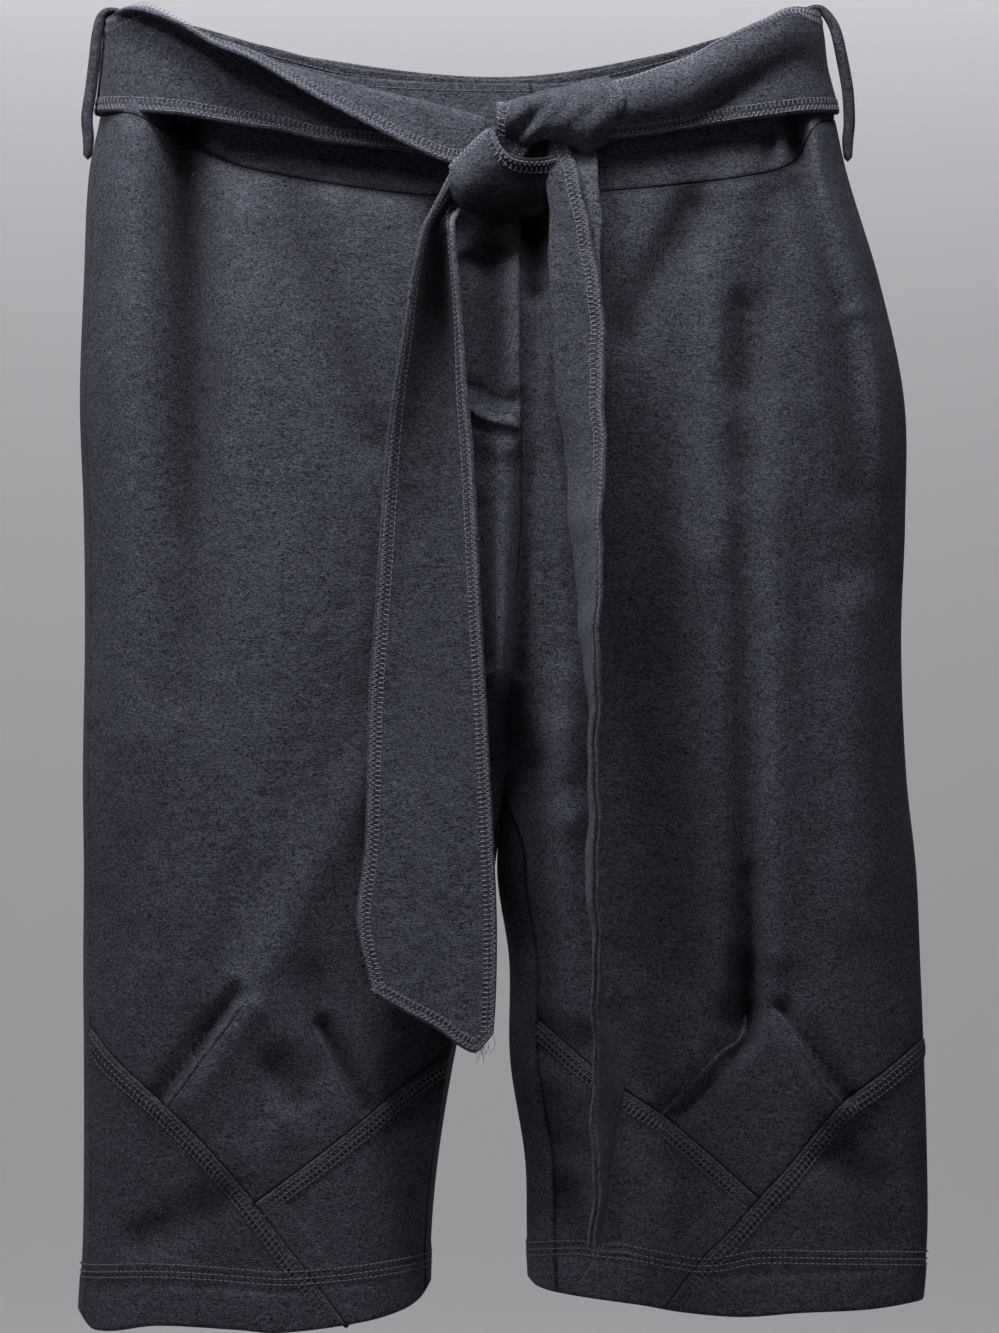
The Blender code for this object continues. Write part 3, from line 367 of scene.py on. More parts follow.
# Lobe of cloth that comes out under the wrap and turns down into the left tail. Its curled upper edge
# runs down beside the wrap's end and on behind the right tail.
KNOT_LOBE = rows(
    Across,
    (-9, ((-80.5, 9), (-83, 12), (-86, 13.5), (-89, 13.5), (-92, 11.5), (-94, 9))),
    (-3, ((-74, 9.5), (-79, 15), (-85, 17.5), (-91, 17), (-97, 14), (-101, 10))),
    (3, ((-68, 10.5), (-75, 17), (-82, 20), (-90, 18.5), (-98, 13.5), (-104, 8))),
    (8, ((-63.5, 12), (-72, 18.5), (-81, 21.2), (-90, 18.5), (-99, 12.5), (-106, 6.5))),
    (12, ((-62, 14.5), (-70, 19.5), (-80, 21.4), (-90, 17.5), (-100, 11), (-107, 5.5))),
    (15, ((-70, 19), (-74.5, 20.8), (-82, 20), (-91, 15.5), (-100, 10), (-108, 5.2))),
    (20, ((-75.5, 20.4), (-78.5, 19.6), (-84.5, 16.4), (-92, 13), (-100, 9), (-108, 5))),
    (28, ((-77.8, 19), (-81, 17), (-86, 13.6), (-92, 10.8), (-99, 8), (-106, 5))),
    (37, ((-77.2, 16), (-81, 14), (-86, 11.4), (-91, 9.2), (-97, 7.2), (-103, 5))),
    (44, ((-75, 11), (-79, 10.2), (-84, 9), (-89, 8), (-94, 7), (-98, 5))),
)
WRAP_WIDTH = 62.0
LOBE_WIDTH = 44.0
KNOT_PITCH = 1.6
# Painted shade on the knot's lobe, growing towards its right and down towards its lower edge, where it lies
# in the shade of the knot: where it starts, over what distance, and how dark
LOBE_SHADE_X, LOBE_SHADE_WIDTH = -4, 40
LOBE_SHADE_Z, LOBE_SHADE_DEPTH = -82, 26
LOBE_SHADE = 10.0

# The wrap's end at the right is cut back at its top and below: share of its width, and how far
KnotEnd = namedtuple("KnotEnd", "share back")
KNOT_END_X = 52
KNOT_END = rows(
    KnotEnd, (0, 9), (0.16, 6.5), (0.32, 0.5), (0.5, 0), (0.7, 5), (1, 9),
)

# Creases across the wrap, from its upper right down to its lower left
Crease = namedtuple("Crease", "top_x top_z low_x low_z width height")
KNOT_CREASES = rows(
    Crease,
    (37, -53, 21, -69, 4.2, -6),
    (60, -40, 36, -66, 3.2, -1.1),
    (72, -46, 46, -66, 3, -0.7),
    (68, -56, 58, -70, 3.4, 0.9),
)

# Left tail: a channel that opens towards the viewer at the top and flattens further down
Tail = namedtuple("Tail", "z left_x right_x y walls right_walls")
LEFT_TAIL = rows(
    Tail,
    (-57, 15, 27, -41, 0, 0),
    (-64, 8, 30, -40, 0, 0),
    (-72, -1, 30, -39, 0, 0),
    (-80, -7.5, 22, -38.5, 3, 0),
    (-94, -14, 6, -39, 11, 0),
    (-102, -17.5, -4, -40, 15, 4),
    (-109, -21, -7, -41, 17, 14),
    (-134, -27, -5, -42.5, 18, 18),
    (-159, -31, -2.5, -45, 15, 15),
    (-194, -37, 0, -48.5, 11, 11),
    (-222, -40.5, 3, -50.5, 7.5, 7.5),
    (-300, -46, 7, -52.5, 3, 3),
    (-344, -49, 9.5, -52.5, 1, 1),
    (-416, -51, 13, -52.5, -1, -1),
    (-454, -55, 14.5, -52.5, -1.5, -1.5),
    (-490, -47, 14, -52.5, -2, -2),
    (-520, -45, 12, -52.5, -2, -2),
)
LEFT_TAIL_WIDTH, LEFT_TAIL_LENGTH = 58.0, 460.0
TAIL_WALL_POWER = 2.6
# Painted shade in the left tail's channel: its strength and how far it spreads towards the walls; and the
# painted light laid over both tails
CHANNEL_SHADE = 1.05
CHANNEL_POWER = 6.0
TAILS_PAINTED_LIGHT = 3.6
LEFT_TAIL_FOOT = rows(
    Line, (0, -488.5), (0.25, -498), (0.5, -506), (0.85, -518.5), (1, -509),
)

# Right tail: folded in half lengthwise, then turned edge-on as it hangs
Twist = namedtuple("Twist", "z x y turn width front")
RIGHT_TAIL = rows(
    Twist,
    (-63, 53, -36.5, 0, 22, 8),
    (-72, 53, -38, 0, 23.5, 11),
    (-84, 52.5, -42.5, 3, 25, 16),
    (-100, 53, -45, 4, 25.5, 18),
    (-120, 53.5, -47.5, 6, 25.5, 22),
    (-140, 54.2, -50, 8, 25.5, 25.5),
    (-170, 55, -52.5, 12, 25.5, 25.5),
    (-222, 57.5, -57.5, 42, 25.5, 25.5),
    (-274, 59, -61, 62, 25.5, 25.5),
    (-322, 61, -62.5, 78, 25.5, 25.5),
    (-364, 62.5, -62.5, 88, 25.5, 25.5),
    (-430, 62, -60.5, 84, 25.5, 25.5),
    (-484, 64.5, -57, 95, 25.5, 25.5),
    (-514, 67.5, -55, 110, 25.5, 25.5),
    (-539, 69.5, -54, 122, 25.5, 25.5),
    (-561, 67.5, -53.5, 112, 25.5, 25.5),
    (-590, 65, -53, 98, 25, 25),
    (-614, 64, -53, 101, 24, 24),
)
RIGHT_TAIL_WIDTH = 56.0
TAIL_LAYERS_APART = 2.6
# The folded tail's slight sideways waves: height, length and phase
TAIL_SWAY = ((0.7, 9.5, 0), (0.35, 4.3, 1))

# Belt loops: the middle of the strap as (x, z), from inside the waistband over its top to its foot
LEFT_LOOP = rows(
    Line, (-172.3, -12), (-171.4, -5), (-173, -0.5), (-176.5, 1.2), (-181, 0.8), (-184.2, -3),
    (-186, -12), (-187.2, -24), (-188.9, -38), (-190.9, -52), (-190.2, -63), (-190.8, -73),
)
RIGHT_LOOP = rows(
    Line, (167.4, -12), (166.4, -5), (168, 0.3), (172, 2.4), (176.5, 2.2), (180.6, -2), (184.2, -9),
    (187.4, -23), (190.2, -39), (191, -54), (190.2, -64), (190.4, -74),
)
LOOP_WIDTH = 11.0
LOOP_ROWS = 70
LOOP_PITCH = 1.5
# Thickness of a strap along its path: flat over the waistband, round at the side, pressed flat at its foot
Strap = namedtuple("Strap", "share thickness")
LOOP_THICKNESS = rows(
    Strap, (0, 2.4), (0.32, 2.8), (0.46, 4.6), (0.6, 5.6), (0.88, 5.6), (0.93, 5.2), (1, 3.6),
)

# Relief of the seam allowance under the coverstitch, and of the turned-up hem
SEAM_LIFT = 0.55
SEAM_BAND = 12.5
HEM_LIFT = 0.7
HEM_BAND = 21.0
BAND_RAMP = 5.0

# Edge of a cut piece: distances in from the edge at which there is a row of points
EDGE_STEPS = (0.0, 0.14, 0.45, 1.0, 1.8, 3.2)
EDGE_REACH = EDGE_STEPS[-1]
EDGE_ROOM = 2.6 * EDGE_REACH
LEAST_EDGE = 0.14

# Flat cut of each piece of cloth as (width, length) in millimetres, and the share of it that is cloth
Cut = namedtuple("Cut", "width length share")


def length_property(name, description, size):
    return FloatProperty(name=name, description=description, default=size * MM, subtype="DISTANCE")


def colour_property(name, description, default):
    return FloatVectorProperty(
        name=name, description=description, size=3, subtype="COLOR", default=default
    )


def share_property(name, description, default):
    return FloatProperty(name=name, description=description, default=default, min=0.0, max=1.0)


def power_property(name, description, default):
    return FloatProperty(name=name, description=description, default=default, unit="POWER")


class ShortsCloth(bpy.types.PropertyGroup):
    thickness: length_property("Cloth", "Thickness of the felted cloth", 2.0)
    pitch: length_property("Pitch", "Distance between points of the cloth's mesh", 2.4)
    hem: length_property("Hem", "Thickness of the turned-up hem", 3.4)
    hem_depth: length_property("Hem depth", "How far the hem is turned up", 27.0)


class ShortsStitching(bpy.types.PropertyGroup):
    length: length_property("Stitch", "Length of one stitch", 2.7)
    thread: length_property("Thread", "Radius of the sewing thread", 0.29)
    colour: colour_property("Thread colour", "Colour of the sewing thread", (0.235, 0.240, 0.30))


class ShortsWool(bpy.types.PropertyGroup):
    dark: colour_property("Ground", "Darkest fibres of the wool", (0.006, 0.007, 0.011))
    light: colour_property("Fibres", "Lightest fibres of the wool", (0.164, 0.173, 0.224))
    roughness: share_property("Roughness", "Roughness of the felt", 0.95)
    sheen: share_property("Nap", "Strength of the nap's soft sheen", 0.11)


class ShortsStage(bpy.types.PropertyGroup):
    floor: colour_property("Floor", "Colour of the floor and backdrop", (0.325, 0.325, 0.341))
    distance: FloatProperty(
        name="Camera distance", description="From the camera to the front of the garment", default=4.0,
        unit="LENGTH",
    )
    key: power_property("Key light", "Power of the main light", 8.5)
    top: power_property("Top light", "Power of the light above", 9.0)
    fill: power_property("Fill light", "Power of the soft fill", 2.2)
    backdrop: power_property("Backdrop lights", "Power of the light on the backdrop", 10.1)


class Curve:
    """A smooth curve through one column of a table, read at any places of its first column."""

    def __init__(self, rows, column):
        points = sorted((row[0], getattr(row, column)) for row in rows)
        self.places = np.array([place for place, _ in points], float)
        self.values = np.array([value for _, value in points], float)
        after = np.minimum(np.arange(len(points)) + 1, len(points) - 1)
        before = np.maximum(np.arange(len(points)) - 1, 0)
        rise, run = (row[after] - row[before] for row in (self.values, self.places))
        self.slopes = rise / run

    def __call__(self, place):
        place = np.clip(place, self.places[0], self.places[-1])
        i = np.clip(np.searchsorted(self.places, place, side="right") - 1, 0, len(self.places) - 2)
        span = self.places[i + 1] - self.places[i]
        s = (place - self.places[i]) / span
        rise = s * s * (3 - 2 * s)
        bend = span * s * (1 - s) * ((1 - s) * self.slopes[i] - s * self.slopes[i + 1])
        return self.values[i] * (1 - rise) + self.values[i + 1] * rise + bend


def smooth(marks, values, places):
    """Rows of values at marks, read smoothly at places between the marks."""
    marks, values = np.asarray(marks, float), np.asarray(values, float)
    flat = values.reshape(len(marks), -1)
    Row = namedtuple("Row", "mark value")
    curves = [Curve([Row(*pair) for pair in zip(marks, column)], "value") for column in flat.T]
    columns = [curve(places) for curve in curves]
    return np.stack(columns, axis=-1).reshape((len(places),) + values.shape[1:])


class Half:
    """The left or right half of the garment: its outline, its faces, its seams and its hem.

    The side seam and the inseam lie this far in from its edges. The hem panels' V has its point at v_x,
    and their long seam runs out into the hem at runout_x.
    """

    def __init__(self, side, side_seam, inseam, v_x, runout_x, **lines):
        self.side = side
        self.sign = -1 if side == "left" else 1
        self.outer_x = Curve(BODY, side + "_x")
        self.middle_x = Curve([row for row in BODY if row.z >= CROTCH_Z], side + "_in")
        self.leg_x = Curve([row for row in BODY if row.z <= CROTCH_Z], side + "_in")
        self.flat = {face: Curve(BODY, side + "_" + face) for face in ("front", "back")}
        self.side_seam = side_seam
        self.inseam = inseam
        self.v_x = v_x
        self.runout_x = runout_x
        for name, line in lines.items():
            setattr(self, name, Curve(line, "z"))

    def inner_x(self, z):
        return np.where(z > CROTCH_Z, self.middle_x(z), self.leg_x(z))


LEFT = Half(
    "left", side_seam=4.0, inseam=3.0, v_x=-106.0, runout_x=-60.5, hem=LEFT_HEM,
    long_seam=LEFT_LONG_SEAM, short_seam=LEFT_SHORT_SEAM, hem_stitch=LEFT_HEM_STITCH,
)
RIGHT = Half(
    "right", side_seam=-4.0, inseam=14.0, v_x=145.0, runout_x=98.0, hem=RIGHT_HEM,
    long_seam=RIGHT_LONG_SEAM, short_seam=RIGHT_SHORT_SEAM, hem_stitch=RIGHT_HEM_STITCH,
)
OUTER_RADIUS = Curve(BODY, "radius")
FRONT_TOP_LINE, BACK_TOP_LINE, FRONT_WAIST_LINE, BACK_WAIST_LINE, BACK_BELT_LINE = (
    Curve(table, "z") for table in (FRONT_TOP, BACK_TOP, FRONT_WAIST, BACK_WAIST, BACK_BELT)
)


def clamp(value):
    return np.clip(value, 0.0, 1.0)


def ease(value):
    """0 to 1 with soft ends."""
    s = clamp(value)
    return s * s * (3 - 2 * s)


def quarter_round(q):
    """1 at an edge, falling to 0 along a quarter of a circle at q = 1."""
    return 1 - np.sqrt(np.maximum(1 - (1 - clamp(q)) ** 2, 0.0))


def nothing(z):
    return 0.0 * z


def fly_lift(z):
    """How far the fly's edge stands off the front under it: most half way down, none below its end."""
    raised = BAND_LIFT + (FLY_LIFT - BAND_LIFT) * ease((FLY_START - z) / FLY_SETTLE)
    return raised * (1 - ease((FLY_END - z) / FLY_SETTLE))


def rise_overlap(z):
    """How far a panel passes the middle, so that the two halves close where the rise turns in."""
    below = ease((RISE_TURN["back"] - z) / RISE_SETTLE)
    return RISE_OVERLAP * below * ease((z - CROTCH_Z) / RISE_SETTLE + 1)


def fly_underlap(z):
    """How far the right front runs on under the fly."""
    return rise_overlap(z) + FLY_UNDERLAP * ease((z - FLY_END) / UNDERLAP_SETTLE)


# How a panel's inner edge differs from the plain skin: how far it passes the middle, and its lift
Lap = namedtuple("Lap", "overlap lift")
FLUSH = Lap(nothing, nothing)
CLOSED = Lap(rise_overlap, nothing)
FLY_OVER = Lap(rise_overlap, fly_lift)
FLY_UNDER = Lap(fly_underlap, nothing)
BAND_OVER = Lap(lambda z: BAND_OVERLAP + nothing(z), lambda z: BAND_LIFT + nothing(z))
BAND_UNDER = Lap(lambda z: FLY_UNDERLAP + nothing(z), nothing)
LAPS = {
    "back_left_panel": CLOSED,
    "back_right_panel": CLOSED,
    "front_left_panel": FLY_OVER,
    "front_right_panel": FLY_UNDER,
    "front_left_waistband": BAND_OVER,
    "front_right_waistband": BAND_UNDER,
}


def rise_turn(face, z):
    """How far the middle seam has turned in towards the crotch at a height, from 0 to 1."""
    start = RISE_TURN[face]
    s = clamp((start - z) / (start - CROTCH_Z))
    return 1 - np.sqrt(1 - s * s)


def along_fold(fold, x, z):
    """How far down a fold each place lies, from 0 to 1, and the share of the fold's height there."""
    run_x, run_z = fold.low_x - fold.top_x, fold.low_z - fold.top_z
    s = clamp(((x - fold.top_x) * run_x + (z - fold.top_z) * run_z) / (run_x ** 2 + run_z ** 2))
    away = np.hypot(x - fold.top_x - run_x * s, z - fold.top_z - run_z * s) / fold.width
    return s, np.exp(-away * away)


# The back's waves don't match the front's
BACK_WAVE_PHASE = 1.7


def fold_height(face, x, z):
    """Sum of the soft folds, creases and slow waves at places on one face."""
    total = np.zeros_like(x)
    for fold in FOLDS[face] + CREASES[face]:
        s, height = along_fold(fold, x, z)
        total += (fold.top_height + (fold.low_height - fold.top_height) * s) * height
    turn = 0.0 if face == "front" else BACK_WAVE_PHASE
    for wave in SWAY:
        total += wave.height * np.sin(x / wave.length_x + z / wave.length_z + wave.phase + turn)
    return total


def face_point(half, face, t, z, lap=FLUSH, plain=False):
    """Points of the outer skin on one face, t from 0 at the outer edge to 1 at the inner one."""
    inner_x = half.inner_x(z) - half.sign * lap.overlap(z)
    outer_x = half.outer_x(z)
    width = half.sign * (outer_x - inner_x)
    radius = OUTER_RADIUS(z)
    near = radius * (1 - np.cos(math.pi / 2 * np.minimum(t / TURN, 1)))
    far = width - INNER_RADIUS * (1 - np.cos(math.pi / 2 * np.minimum((1 - t) / TURN, 1)))
    middle = radius + (width - radius - INNER_RADIUS) * (t - TURN) / (1 - 2 * TURN)
    from_outer = np.where(t < TURN, near, np.where(t > 1 - TURN, far, middle))
    from_inner = width - from_outer
    x = outer_x - half.sign * from_outer
    flat = half.flat[face](z)
    turned = rise_turn(face, z)
    leg = ease(2 * turned - 1)
    near_inner = clamp(from_inner / INNER_RADIUS)
    cleft = (1 - leg) * (1 - near_inner) ** 2 + leg * quarter_round(near_inner)
    y = flat * (1 - quarter_round(from_outer / radius)) + (CROTCH_Y - flat) * turned * cleft
    if not plain:
        fade = ease(from_outer / FOLD_FADE) * (1 - leg * (1 - ease(from_inner / FOLD_FADE)))
        raised = fold_height(face, x, z) * fade
        raised += lap.lift(z) * (1 - ease((from_inner - FLY_FLAT) / FLY_RAMP))
        y = y + (raised if face == "back" else -raised)
    return np.stack([x, y, z + 0 * x], axis=-1)


def skin_point(half, p, z, face, lap=FLUSH, plain=False):
    """Points of the outer skin at positions round the half. The face settles which side 1 is on."""
    p, z = np.broadcast_arrays(np.asarray(p, float), np.asarray(z, float))
    round_p = np.mod(p, 2)
    on_front = (round_p < 1) | ((round_p == 1) & (face == "front"))
    front = face_point(half, "front", clamp(round_p), z, lap, plain)
    back = face_point(half, "back", clamp(2 - round_p), z, lap, plain)
    return np.where(on_front[..., None], front, back)


def turn_for(distance, radius):
    """Position of a place this far in from an edge of this radius."""
    angle = np.arccos(1 - np.minimum(np.abs(distance) / radius, 1))
    return np.copysign(TURN * angle * 2 / math.pi, distance)


def position(half, face, share, z):
    """Position of a share of the way from the side seam to the inner edge of a front or a back."""
    seam = turn_for(half.side_seam, OUTER_RADIUS(z))
    inner = 1 - turn_for(half.inseam * ease((CROTCH_Z - z) / INSEAM_SETTLE), INNER_RADIUS)
    start = seam if face == "front" else 2 + seam
    return np.where(np.asarray(share) >= 1, inner, start + (inner - start) * share)


def cloth_point(half, face, share, z, lap=FLUSH, plain=False):
    return skin_point(half, position(half, face, share, z), z, face, lap, plain)


def unit(vectors):
    return vectors / np.maximum(np.linalg.norm(vectors, axis=-1, keepdims=True), 1e-9)


def cloth_normal(half, face, share, z, lap=FLUSH, plain=False):
    """Straight out of the cloth."""
    step, drop = 0.004, 0.6
    share, z = np.broadcast_arrays(np.asarray(share, float), np.asarray(z, float))
    above = z > CROTCH_Z
    high = np.where(above, z + drop, np.minimum(z + drop, CROTCH_Z))
    low = np.where(above, np.maximum(z - drop, CROTCH_Z + 0.01), z - drop)
    up = cloth_point(half, face, share, high, lap, plain) - cloth_point(half, face, share, low, lap, plain)
    more, less = np.minimum(share + step, 1.0), share - step
    across = cloth_point(half, face, more, z, lap, plain) - cloth_point(half, face, less, z, lap, plain)
    way = -half.sign if face == "front" else half.sign
    return unit(np.cross(across, up)) * way


def grid_normals(grid):
    """Normals of a grid of points, along the cross product of its columns and rows."""
    down = np.gradient(grid, axis=0)
    across = np.gradient(grid, axis=1)
    return unit(np.cross(down, across))


def share_of_x(half, face, x, z, lap=FLUSH):
    """Share of a face's width at which places of these x lie."""
    x, z = np.broadcast_arrays(np.asarray(x, float), np.asarray(z, float))
    low, high = np.zeros_like(x), np.ones_like(x)
    for _ in range(24):
        middle = (low + high) / 2
        reached = cloth_point(half, face, middle, z, lap, plain=True)[..., 0]
        before = (reached - x) * half.sign > 0
        low = np.where(before, middle, low)
        high = np.where(before, high, middle)
    return (low + high) / 2


def line_height(half, face, share, line, lap=FLUSH):
    """Heights at which shares of the width cross a seam or an edge."""
    share = np.asarray(share, float)
    z = line(half.inner_x(np.full_like(share, -100.0)))
    for _ in range(8):
        z = line(cloth_point(half, face, share, z, lap)[..., 0])
    return z


def lowered(line, drop):
    """A line shifted down, square to itself, by a distance."""
    step = 0.5

    def shifted(x):
        slope = (line(x + step) - line(x - step)) / (2 * step)
        return line(x) - drop * np.hypot(1, slope)

    return shifted


def steps_between(length, pitch, count=None):
    """Distances from 0 to a length: close together at both ends, and even between them."""
    scale = min(1.0, length / EDGE_ROOM)
    ends = np.array(EDGE_STEPS) * scale
    inner = length - 2 * ends[-1]
    count = count or max(2, round(inner / pitch))
    middle = ends[-1] + inner * np.arange(1, count) / count
    return np.concatenate([ends, middle, length - ends[::-1]])


def columns(width, pitch, *marks):
    """Shares across a panel of about this width, close together at its ends and at the marks between."""
    stops = [0.0, *marks, 1.0]
    found = []
    for start, end in zip(stops, stops[1:]):
        found.append(start + steps_between((end - start) * width, pitch) / width)
    joined = np.concatenate(found)
    joined = joined[np.concatenate([[True], np.diff(joined) > 1e-7])]
    joined[-1] = 1.0
    return joined


def panel_grid(half, face, shares, top, bottom, rows, lap=FLUSH):
    """Outer points of a panel, row by row from its top edge to its bottom one."""
    high = line_height(half, face, shares, top, lap)
    low = line_height(half, face, shares, bottom, lap)
    length = np.maximum(high - low, 0.8)
    longest = float(length.max())
    template = steps_between(longest, longest / rows)
    ends = len(EDGE_STEPS)
    scale = np.minimum(1.0, length / EDGE_ROOM)
    z = np.empty((len(template), len(shares)))
    inner_share = (template[ends:-ends] - template[ends - 1]) / (template[-ends] - template[ends - 1])
    steps = np.array(EDGE_STEPS)[:, None] * scale[None, :]
    z[:ends] = high - steps
    z[-ends:] = (low + steps)[::-1]
    z[ends:-ends] = z[ends - 1] + (z[-ends] - z[ends - 1]) * inner_share[:, None]
    return cloth_point(half, face, np.broadcast_to(shares, z.shape), z, lap)


def reach_along(points, axis=0):
    """Distance of each point from the first one along its row or column."""
    steps = np.linalg.norm(np.diff(points, axis=axis), axis=-1)
    start = np.zeros_like(steps.take([0], axis=axis))
    return np.concatenate([start, np.cumsum(steps, axis=axis)], axis=axis)


def border_distance(grid):
    """Distance of each point of a grid to its nearest border, measured along rows and columns."""
    from_top = reach_along(grid)
    from_left = reach_along(grid, axis=1)
    from_bottom = from_top[-1:] - from_top
    from_right = from_left[:, -1:] - from_left
    return np.minimum.reduce([from_top, from_left, from_bottom, from_right]), from_bottom


def rim_share(distance, radius):
    """Share of the half thickness that is left at a distance from a rounded edge."""
    return np.maximum(np.sqrt(1 - (1 - clamp(distance / radius)) ** 2), LEAST_EDGE)


def thicken(middle, thickness):
    """The two faces of cloth round its middle surface, with rounded edges all round."""
    normals = grid_normals(middle)
    distance, _ = border_distance(middle)
    half = np.broadcast_to(np.asarray(thickness) / 2, distance.shape)
    offset = normals * (half * rim_share(distance, half))[..., None]
    return middle + offset, middle - offset


def normals_out(grid, face):
    """Normals of a grid of points, out of the front or the back of the garment."""
    normals = grid_normals(grid)
    way = -1.0 if face == "front" else 1.0
    return normals if np.sum(normals[..., 1]) * way >= 0 else -normals


def wall_from_outer(outer, face, thickness, bottom_thickness=None, hem_depth=0.0):
    """The two faces of cloth below its outer surface."""
    normals = normals_out(outer, face)
    distance, from_bottom = border_distance(outer)
    half = np.full(distance.shape, thickness / 2)
    if bottom_thickness:
        half += (bottom_thickness - thickness) / 2 * ease((hem_depth + 3 - from_bottom) / 3)
    reach = half * rim_share(distance, half)
    middle = outer - normals * half[..., None]
    return middle + normals * reach[..., None], middle - normals * reach[..., None]


def mesh_object(name, points, faces, material):
    mesh = bpy.data.meshes.new(name)
    mesh.from_pydata((points * MM).tolist(), [], faces)
    mesh.shade_smooth()
    mesh.materials.append(material)
    built = bpy.data.objects.new(name, mesh)
    bpy.context.scene.collection.objects.link(built)
    return built


class Joined:
    """Gathers the points and faces of several parts, then makes them one mesh."""

    def __init__(self):
        self.points, self.faces, self.count = [], [], 0

    def add(self, points, *face_sets):
        """A part whose faces number its own points. Each set of faces has one number of corners."""
        self.points.append(points)
        for faces in face_sets:
            self.faces += (np.asarray(faces) + self.count).tolist()
        self.count += len(points)

    def mesh(self, name, material):
        return mesh_object(name, np.concatenate(self.points), self.faces, material)


def wall_faces(rows, cols):
    """Faces of a closed wall between two grids of points, the near grid first."""
    index = np.arange(rows * cols).reshape(rows, cols)
    corners = [index[:-1, :-1], index[:-1, 1:], index[1:, 1:], index[1:, :-1]]
    near = np.stack(corners, axis=-1).reshape(-1, 4)
    far = near[:, ::-1] + rows * cols
    border = np.concatenate([index[0, :-1], index[:-1, -1], index[-1, :0:-1], index[:0:-1, 0]])
    following = np.roll(border, -1)
    rim = np.stack([following, border, border + rows * cols, following + rows * cols], axis=-1)
    return np.concatenate([near, far, rim])


def cloth_piece(name, layers, material, relief=None):
    """A piece of cloth made of pairs of faces, which stands for the solid of its name."""
    parts = Joined()
    for near, far in layers:
        wall = wall_faces(*near.shape[:2])
        outward = np.cross(near[0, 1] - near[0, 0], near[1, 0] - near[0, 0])
        if np.dot(outward, near[0, 0] - far[0, 0]) > 0:
            wall = wall[:, ::-1]
        parts.add(np.concatenate([near.reshape(-1, 3), far.reshape(-1, 3)]), wall)
    piece = parts.mesh("cloth_" + name, material)
    # The optional values are painted shade and painted highlight for the material, one for each of the
    # first points; the others get none
    if relief is not None:
        values = np.zeros(parts.count)
        values[:relief.size] = relief.reshape(-1)
        piece.data.attributes.new("relief", "FLOAT", "POINT").data.foreach_set("value", values)
    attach(piece, ROOT)
    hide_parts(name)
    return piece


def bend_normal(path, normals):
    """Direction along a path of points, and the direction across it in the cloth."""
    along = unit(np.gradient(path, axis=0))
    across = unit(np.cross(normals, along))
    return along, across


def read_along(reach, vectors, places):
    """Vectors given at distances along a line, read at places between."""
    return np.stack([np.interp(places, reach, column) for column in vectors.T], axis=-1)


def resample(path, normals, pitch):
    """Points spread evenly along a path, with the cloth's normal at each."""
    reach = reach_along(path)
    places = np.linspace(0, reach[-1], max(2, round(reach[-1] / pitch) + 1))
    return read_along(reach, path, places), unit(read_along(reach, normals, places))


# A thread is round on top and flat against the cloth. Rings along it: place, share of its radius, sink.
THREAD_SIDES = 3
THREAD_RINGS = ((-0.5, 0.4, -0.8), (-0.3, 1.12, -0.15), (0.3, 1.12, -0.15), (0.5, 0.4, -0.8))


def thread_stitches(starts, ends, normals, radius):
    """Stitches as short threads that dip into the cloth at both ends: points, side faces and end faces."""
    along = ends - starts
    length = np.linalg.norm(along, axis=1, keepdims=True)
    along = along / np.maximum(length, 1e-9)
    across = unit(np.cross(normals, along))
    middle = (starts + ends) / 2
    rings = []
    for place, share, sink in THREAD_RINGS:
        centre = middle + along * length * place + normals * radius * sink
        for side in range(THREAD_SIDES):
            angle = math.pi * side / (THREAD_SIDES - 1)
            reach = across * math.cos(angle) + normals * math.sin(angle)
            rings.append(centre + reach * radius * share)
    points = np.stack(rings, axis=1)
    walls = []
    for ring in range(len(THREAD_RINGS) - 1):
        for side in range(THREAD_SIDES):
            after = (side + 1) % THREAD_SIDES
            low, high = ring * THREAD_SIDES, (ring + 1) * THREAD_SIDES
            walls.append((low + side, low + after, high + after, high + side))
    last = (len(THREAD_RINGS) - 1) * THREAD_SIDES
    caps = [tuple(reversed(range(THREAD_SIDES))), tuple(range(last, last + THREAD_SIDES))]
    offsets = (np.arange(len(points)) * points.shape[1])[:, None, None]
    walls = (np.array(walls) + offsets).reshape(-1, 4)
    return points.reshape(-1, 3), walls, (np.array(caps) + offsets).reshape(-1, THREAD_SIDES)


